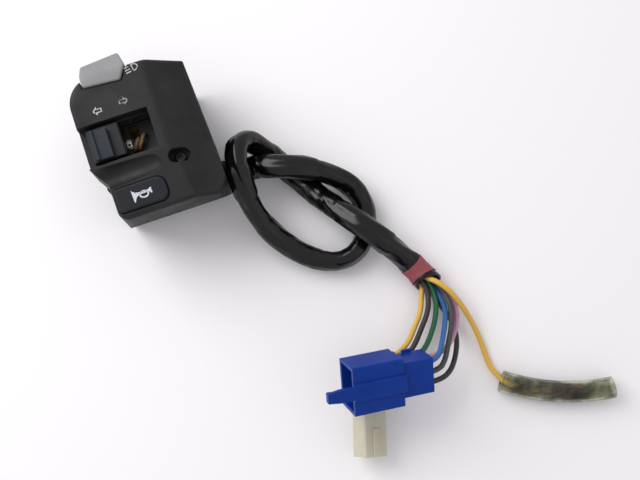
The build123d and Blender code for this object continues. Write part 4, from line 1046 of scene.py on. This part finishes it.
@dataclass
class Signs:
    """The printed signs: two arrows and a lamp on the housing, and a bugle on the horn button."""

    face: float = 28.0 * MM
    lift: float = 0.03 * MM
    arrow_left: tuple[float, float] = (-14.5, 15.2)
    arrow_right: tuple[float, float] = (-3.8, 15.8)
    lamp: tuple[float, float] = (3.1, 27.5)
    lamp_turn: float = 9.0
    horn: tuple[float, float] = (-7.5, -21.4)
    horn_tilt: float = 5.71
    horn_top: float = 29.1
    horn_top_edge: float = -7.0
    horn_fall: float = 2.2
    horn_run: float = 22.0

    def arrow(self, way: int) -> list[Outline]:
        """Gives a hollow arrow that points left (-1) or right (1)."""
        outer = [(2.0, 0), (0.1, 1.8), (0.1, 0.85), (-1.8, 0.85), (-1.8, -0.85), (0.1, -0.85), (0.1, -1.8)]
        inner = [(1.35, 0), (0.45, 0.88), (0.45, 0.42), (-1.4, 0.42), (-1.4, -0.42), (0.45, -0.42), (0.45, -0.88)]
        return [[(way * x, y) for x, y in outline] for outline in (outer, inner)]

    def lamp_outlines(self) -> list[Outline]:
        """Gives a lamp seen from the side with its beam as three bars."""
        round_side = [math.radians(-90 + 180 * step / 12) for step in range(13)]
        outer = [(0.2 + 2.5 * math.cos(t), 1.6 * math.sin(t)) for t in round_side]
        inner = [(0.6 + 1.7 * math.cos(t), 1.15 * math.sin(t)) for t in round_side]
        beams = [bar(-2.7, y, -0.6, y + 0.42) for y in (-1.35, -0.25, 0.85)]
        return [outer, inner, *beams]

    def bugle_outlines(self) -> list[Outline]:
        """Gives a bugle with its bell to the left."""
        bell = [
            (-4.2, 2.3), (-3.7, 1.55), (-2.9, 1.0), (-1.6, 0.75), (2.4, 0.75), (3.2, 1.3), (3.6, 1.3), (3.6, -0.9),
            (3.2, -0.9), (2.4, -0.1), (-1.6, -0.25), (-2.6, -0.8), (-3.2, -1.7), (-3.6, -2.7), (-4.0, -2.6),
        ]
        return [bell]

    def loop_outlines(self) -> list[Outline]:
        """Gives the bugle's oval loop of tube."""
        return [ellipse(0.35, -0.5, 3.9, 3.0), ellipse(0.35, -0.5, 2.7, 1.8)]

    def horn_height(self, y: float) -> float:
        """Gives the height of the horn button's sloping face at a place."""
        return (self.horn_top - (self.horn_top_edge - y) * self.horn_fall / self.horn_run) * MM

    def build(self, bench: Bench) -> None:
        """Models the signs."""
        worn = PadInk("white pad-print ink, worn", "#BDBDB9", "#38383A", 0.38).build()
        faint = PadInk("white pad-print ink, half gone", "#ACACA8", "#343436", 0.45).build()
        fresh = PadInk("white pad-print ink", "#CDD0D8", "#2B2E34", 0.3).build()
        arrows = (("sign_arrow_left", -1, self.arrow_left, worn), ("sign_arrow_right", 1, self.arrow_right, faint))
        for name, way, place, ink in arrows:
            Mark(name, self.arrow(way), self.spot(place, self.face)).build(bench, ink, Body.ROOT)
        lamp = Mark("sign_lamp", self.lamp_outlines(), self.spot(self.lamp, self.face), turn_degrees=self.lamp_turn)
        lamp.build(bench, worn, Body.ROOT)
        spot = self.spot(self.horn, self.horn_height(self.horn[1]))
        for name, outlines in (("sign_bugle", self.bugle_outlines()), ("sign_bugle_loop", self.loop_outlines())):
            Mark(name, outlines, spot, self.horn_tilt).build(bench, fresh, Body.HORN)

    def spot(self, place: tuple[float, float], height: float) -> Point:
        """Gives a sign's centre, just clear of the face that it is printed on."""
        return (place[0] * MM, place[1] * MM, height + self.lift)


@dataclass(frozen=True)
class SoftLight:
    """A square soft light that points at the target: its side in degrees, its size, power and distance."""

    name: str
    azimuth_degrees: float
    elevation_degrees: float
    size: float
    power: float
    reach: float


@dataclass
class Studio:
    """The pale floor, the soft lights and the camera."""

    target: Point = (0.053, -0.0534, -0.016)
    azimuth_degrees: float = -19.0
    elevation_degrees: float = 80.0
    distance: float = 450 * MM
    focal_px: float = 1071.0
    frame_px: float = 640.0
    sensor_mm: float = 36.0
    floor_height: float = -0.01605
    floor_half: float = 1.6
    floor_colour: str = "#F4F1F3"
    lights: tuple[SoftLight, ...] = (
        SoftLight("key", -140, 42, 0.55, 3.6, 0.72),
        SoftLight("fill", 60, 40, 0.9, 0.5, 1.1),
    )
    world_colour: str = "#F4F4F6"
    world_strength: float = 0.74

    def aim(self, thing: bpy.types.Object, azimuth: float, elevation: float, reach: float) -> None:
        """Sets an object at these angles from the target, in degrees, and turns it towards the target."""
        turn, rise = math.radians(azimuth), math.radians(elevation)
        way = Vector((math.sin(turn) * math.cos(rise), -math.cos(turn) * math.cos(rise), math.sin(rise)))
        thing.location = Vector(self.target) + way * reach
        thing.rotation_euler = (-way).to_track_quat("-Z", "Y").to_euler()

    def build_camera(self) -> None:
        """Sets the camera at the photograph's viewing angle."""
        data = bpy.data.cameras.new("camera")
        data.sensor_width = self.sensor_mm
        data.lens = self.focal_px / self.frame_px * self.sensor_mm
        data.clip_start = 0.01
        camera = new_object("camera", data)
        self.aim(camera, self.azimuth_degrees, self.elevation_degrees, self.distance)
        bpy.context.scene.camera = camera

    def build_light(self, light: SoftLight) -> None:
        """Sets one soft light."""
        data = bpy.data.lights.new(light.name, "AREA")
        data.size = light.size
        data.energy = light.power
        self.aim(new_object(light.name, data), light.azimuth_degrees, light.elevation_degrees, light.reach)

    def build_floor(self) -> None:
        """Lays a wide pale floor under the object."""
        bm = bmesh.new()
        bmesh.ops.create_grid(bm, x_segments=1, y_segments=1, size=self.floor_half)
        bmesh.ops.translate(bm, verts=bm.verts, vec=(self.target[0], self.target[1], self.floor_height))
        mesh = mesh_from(bm, "floor")
        material, tree = new_material("white card, matt")
        finish_material(tree, {"Base Color": linear(self.floor_colour), "Roughness": 0.9, "Specular IOR Level": 0.2})
        mesh.materials.append(material)
        new_object("floor", mesh)

    def build_world(self) -> None:
        """Surrounds the object with pale even light."""
        world = bpy.data.worlds.new("studio")
        world.use_nodes = True
        tree = world.node_tree
        tree.nodes.clear()
        glow = add_node(tree, "Background", {"Color": linear(self.world_colour), "Strength": self.world_strength})
        add_node(tree, "OutputWorld", {"Surface": glow.outputs[0]})
        bpy.context.scene.world = world

    def build(self) -> None:
        """Sets the stage."""
        self.build_camera()
        self.build_floor()
        self.build_world()
        for light in self.lights:
            self.build_light(light)
        bpy.context.scene.view_settings.view_transform = "Standard"


def main() -> None:
    """Dresses the switch cluster."""
    logging.basicConfig(level=logging.INFO, format="%(name)s: %(message)s")
    bench = Bench(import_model())
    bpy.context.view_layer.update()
    bench.dress_construction()
    ReturnSpring().build(bench)
    Signs().build(bench)
    harness = Harness(Loom())
    band = harness.build_band(bench)
    harness.build_sleeve(bench)
    harness.build_wires(bench)
    Studio().build()


if __name__ == "__main__":
    main()
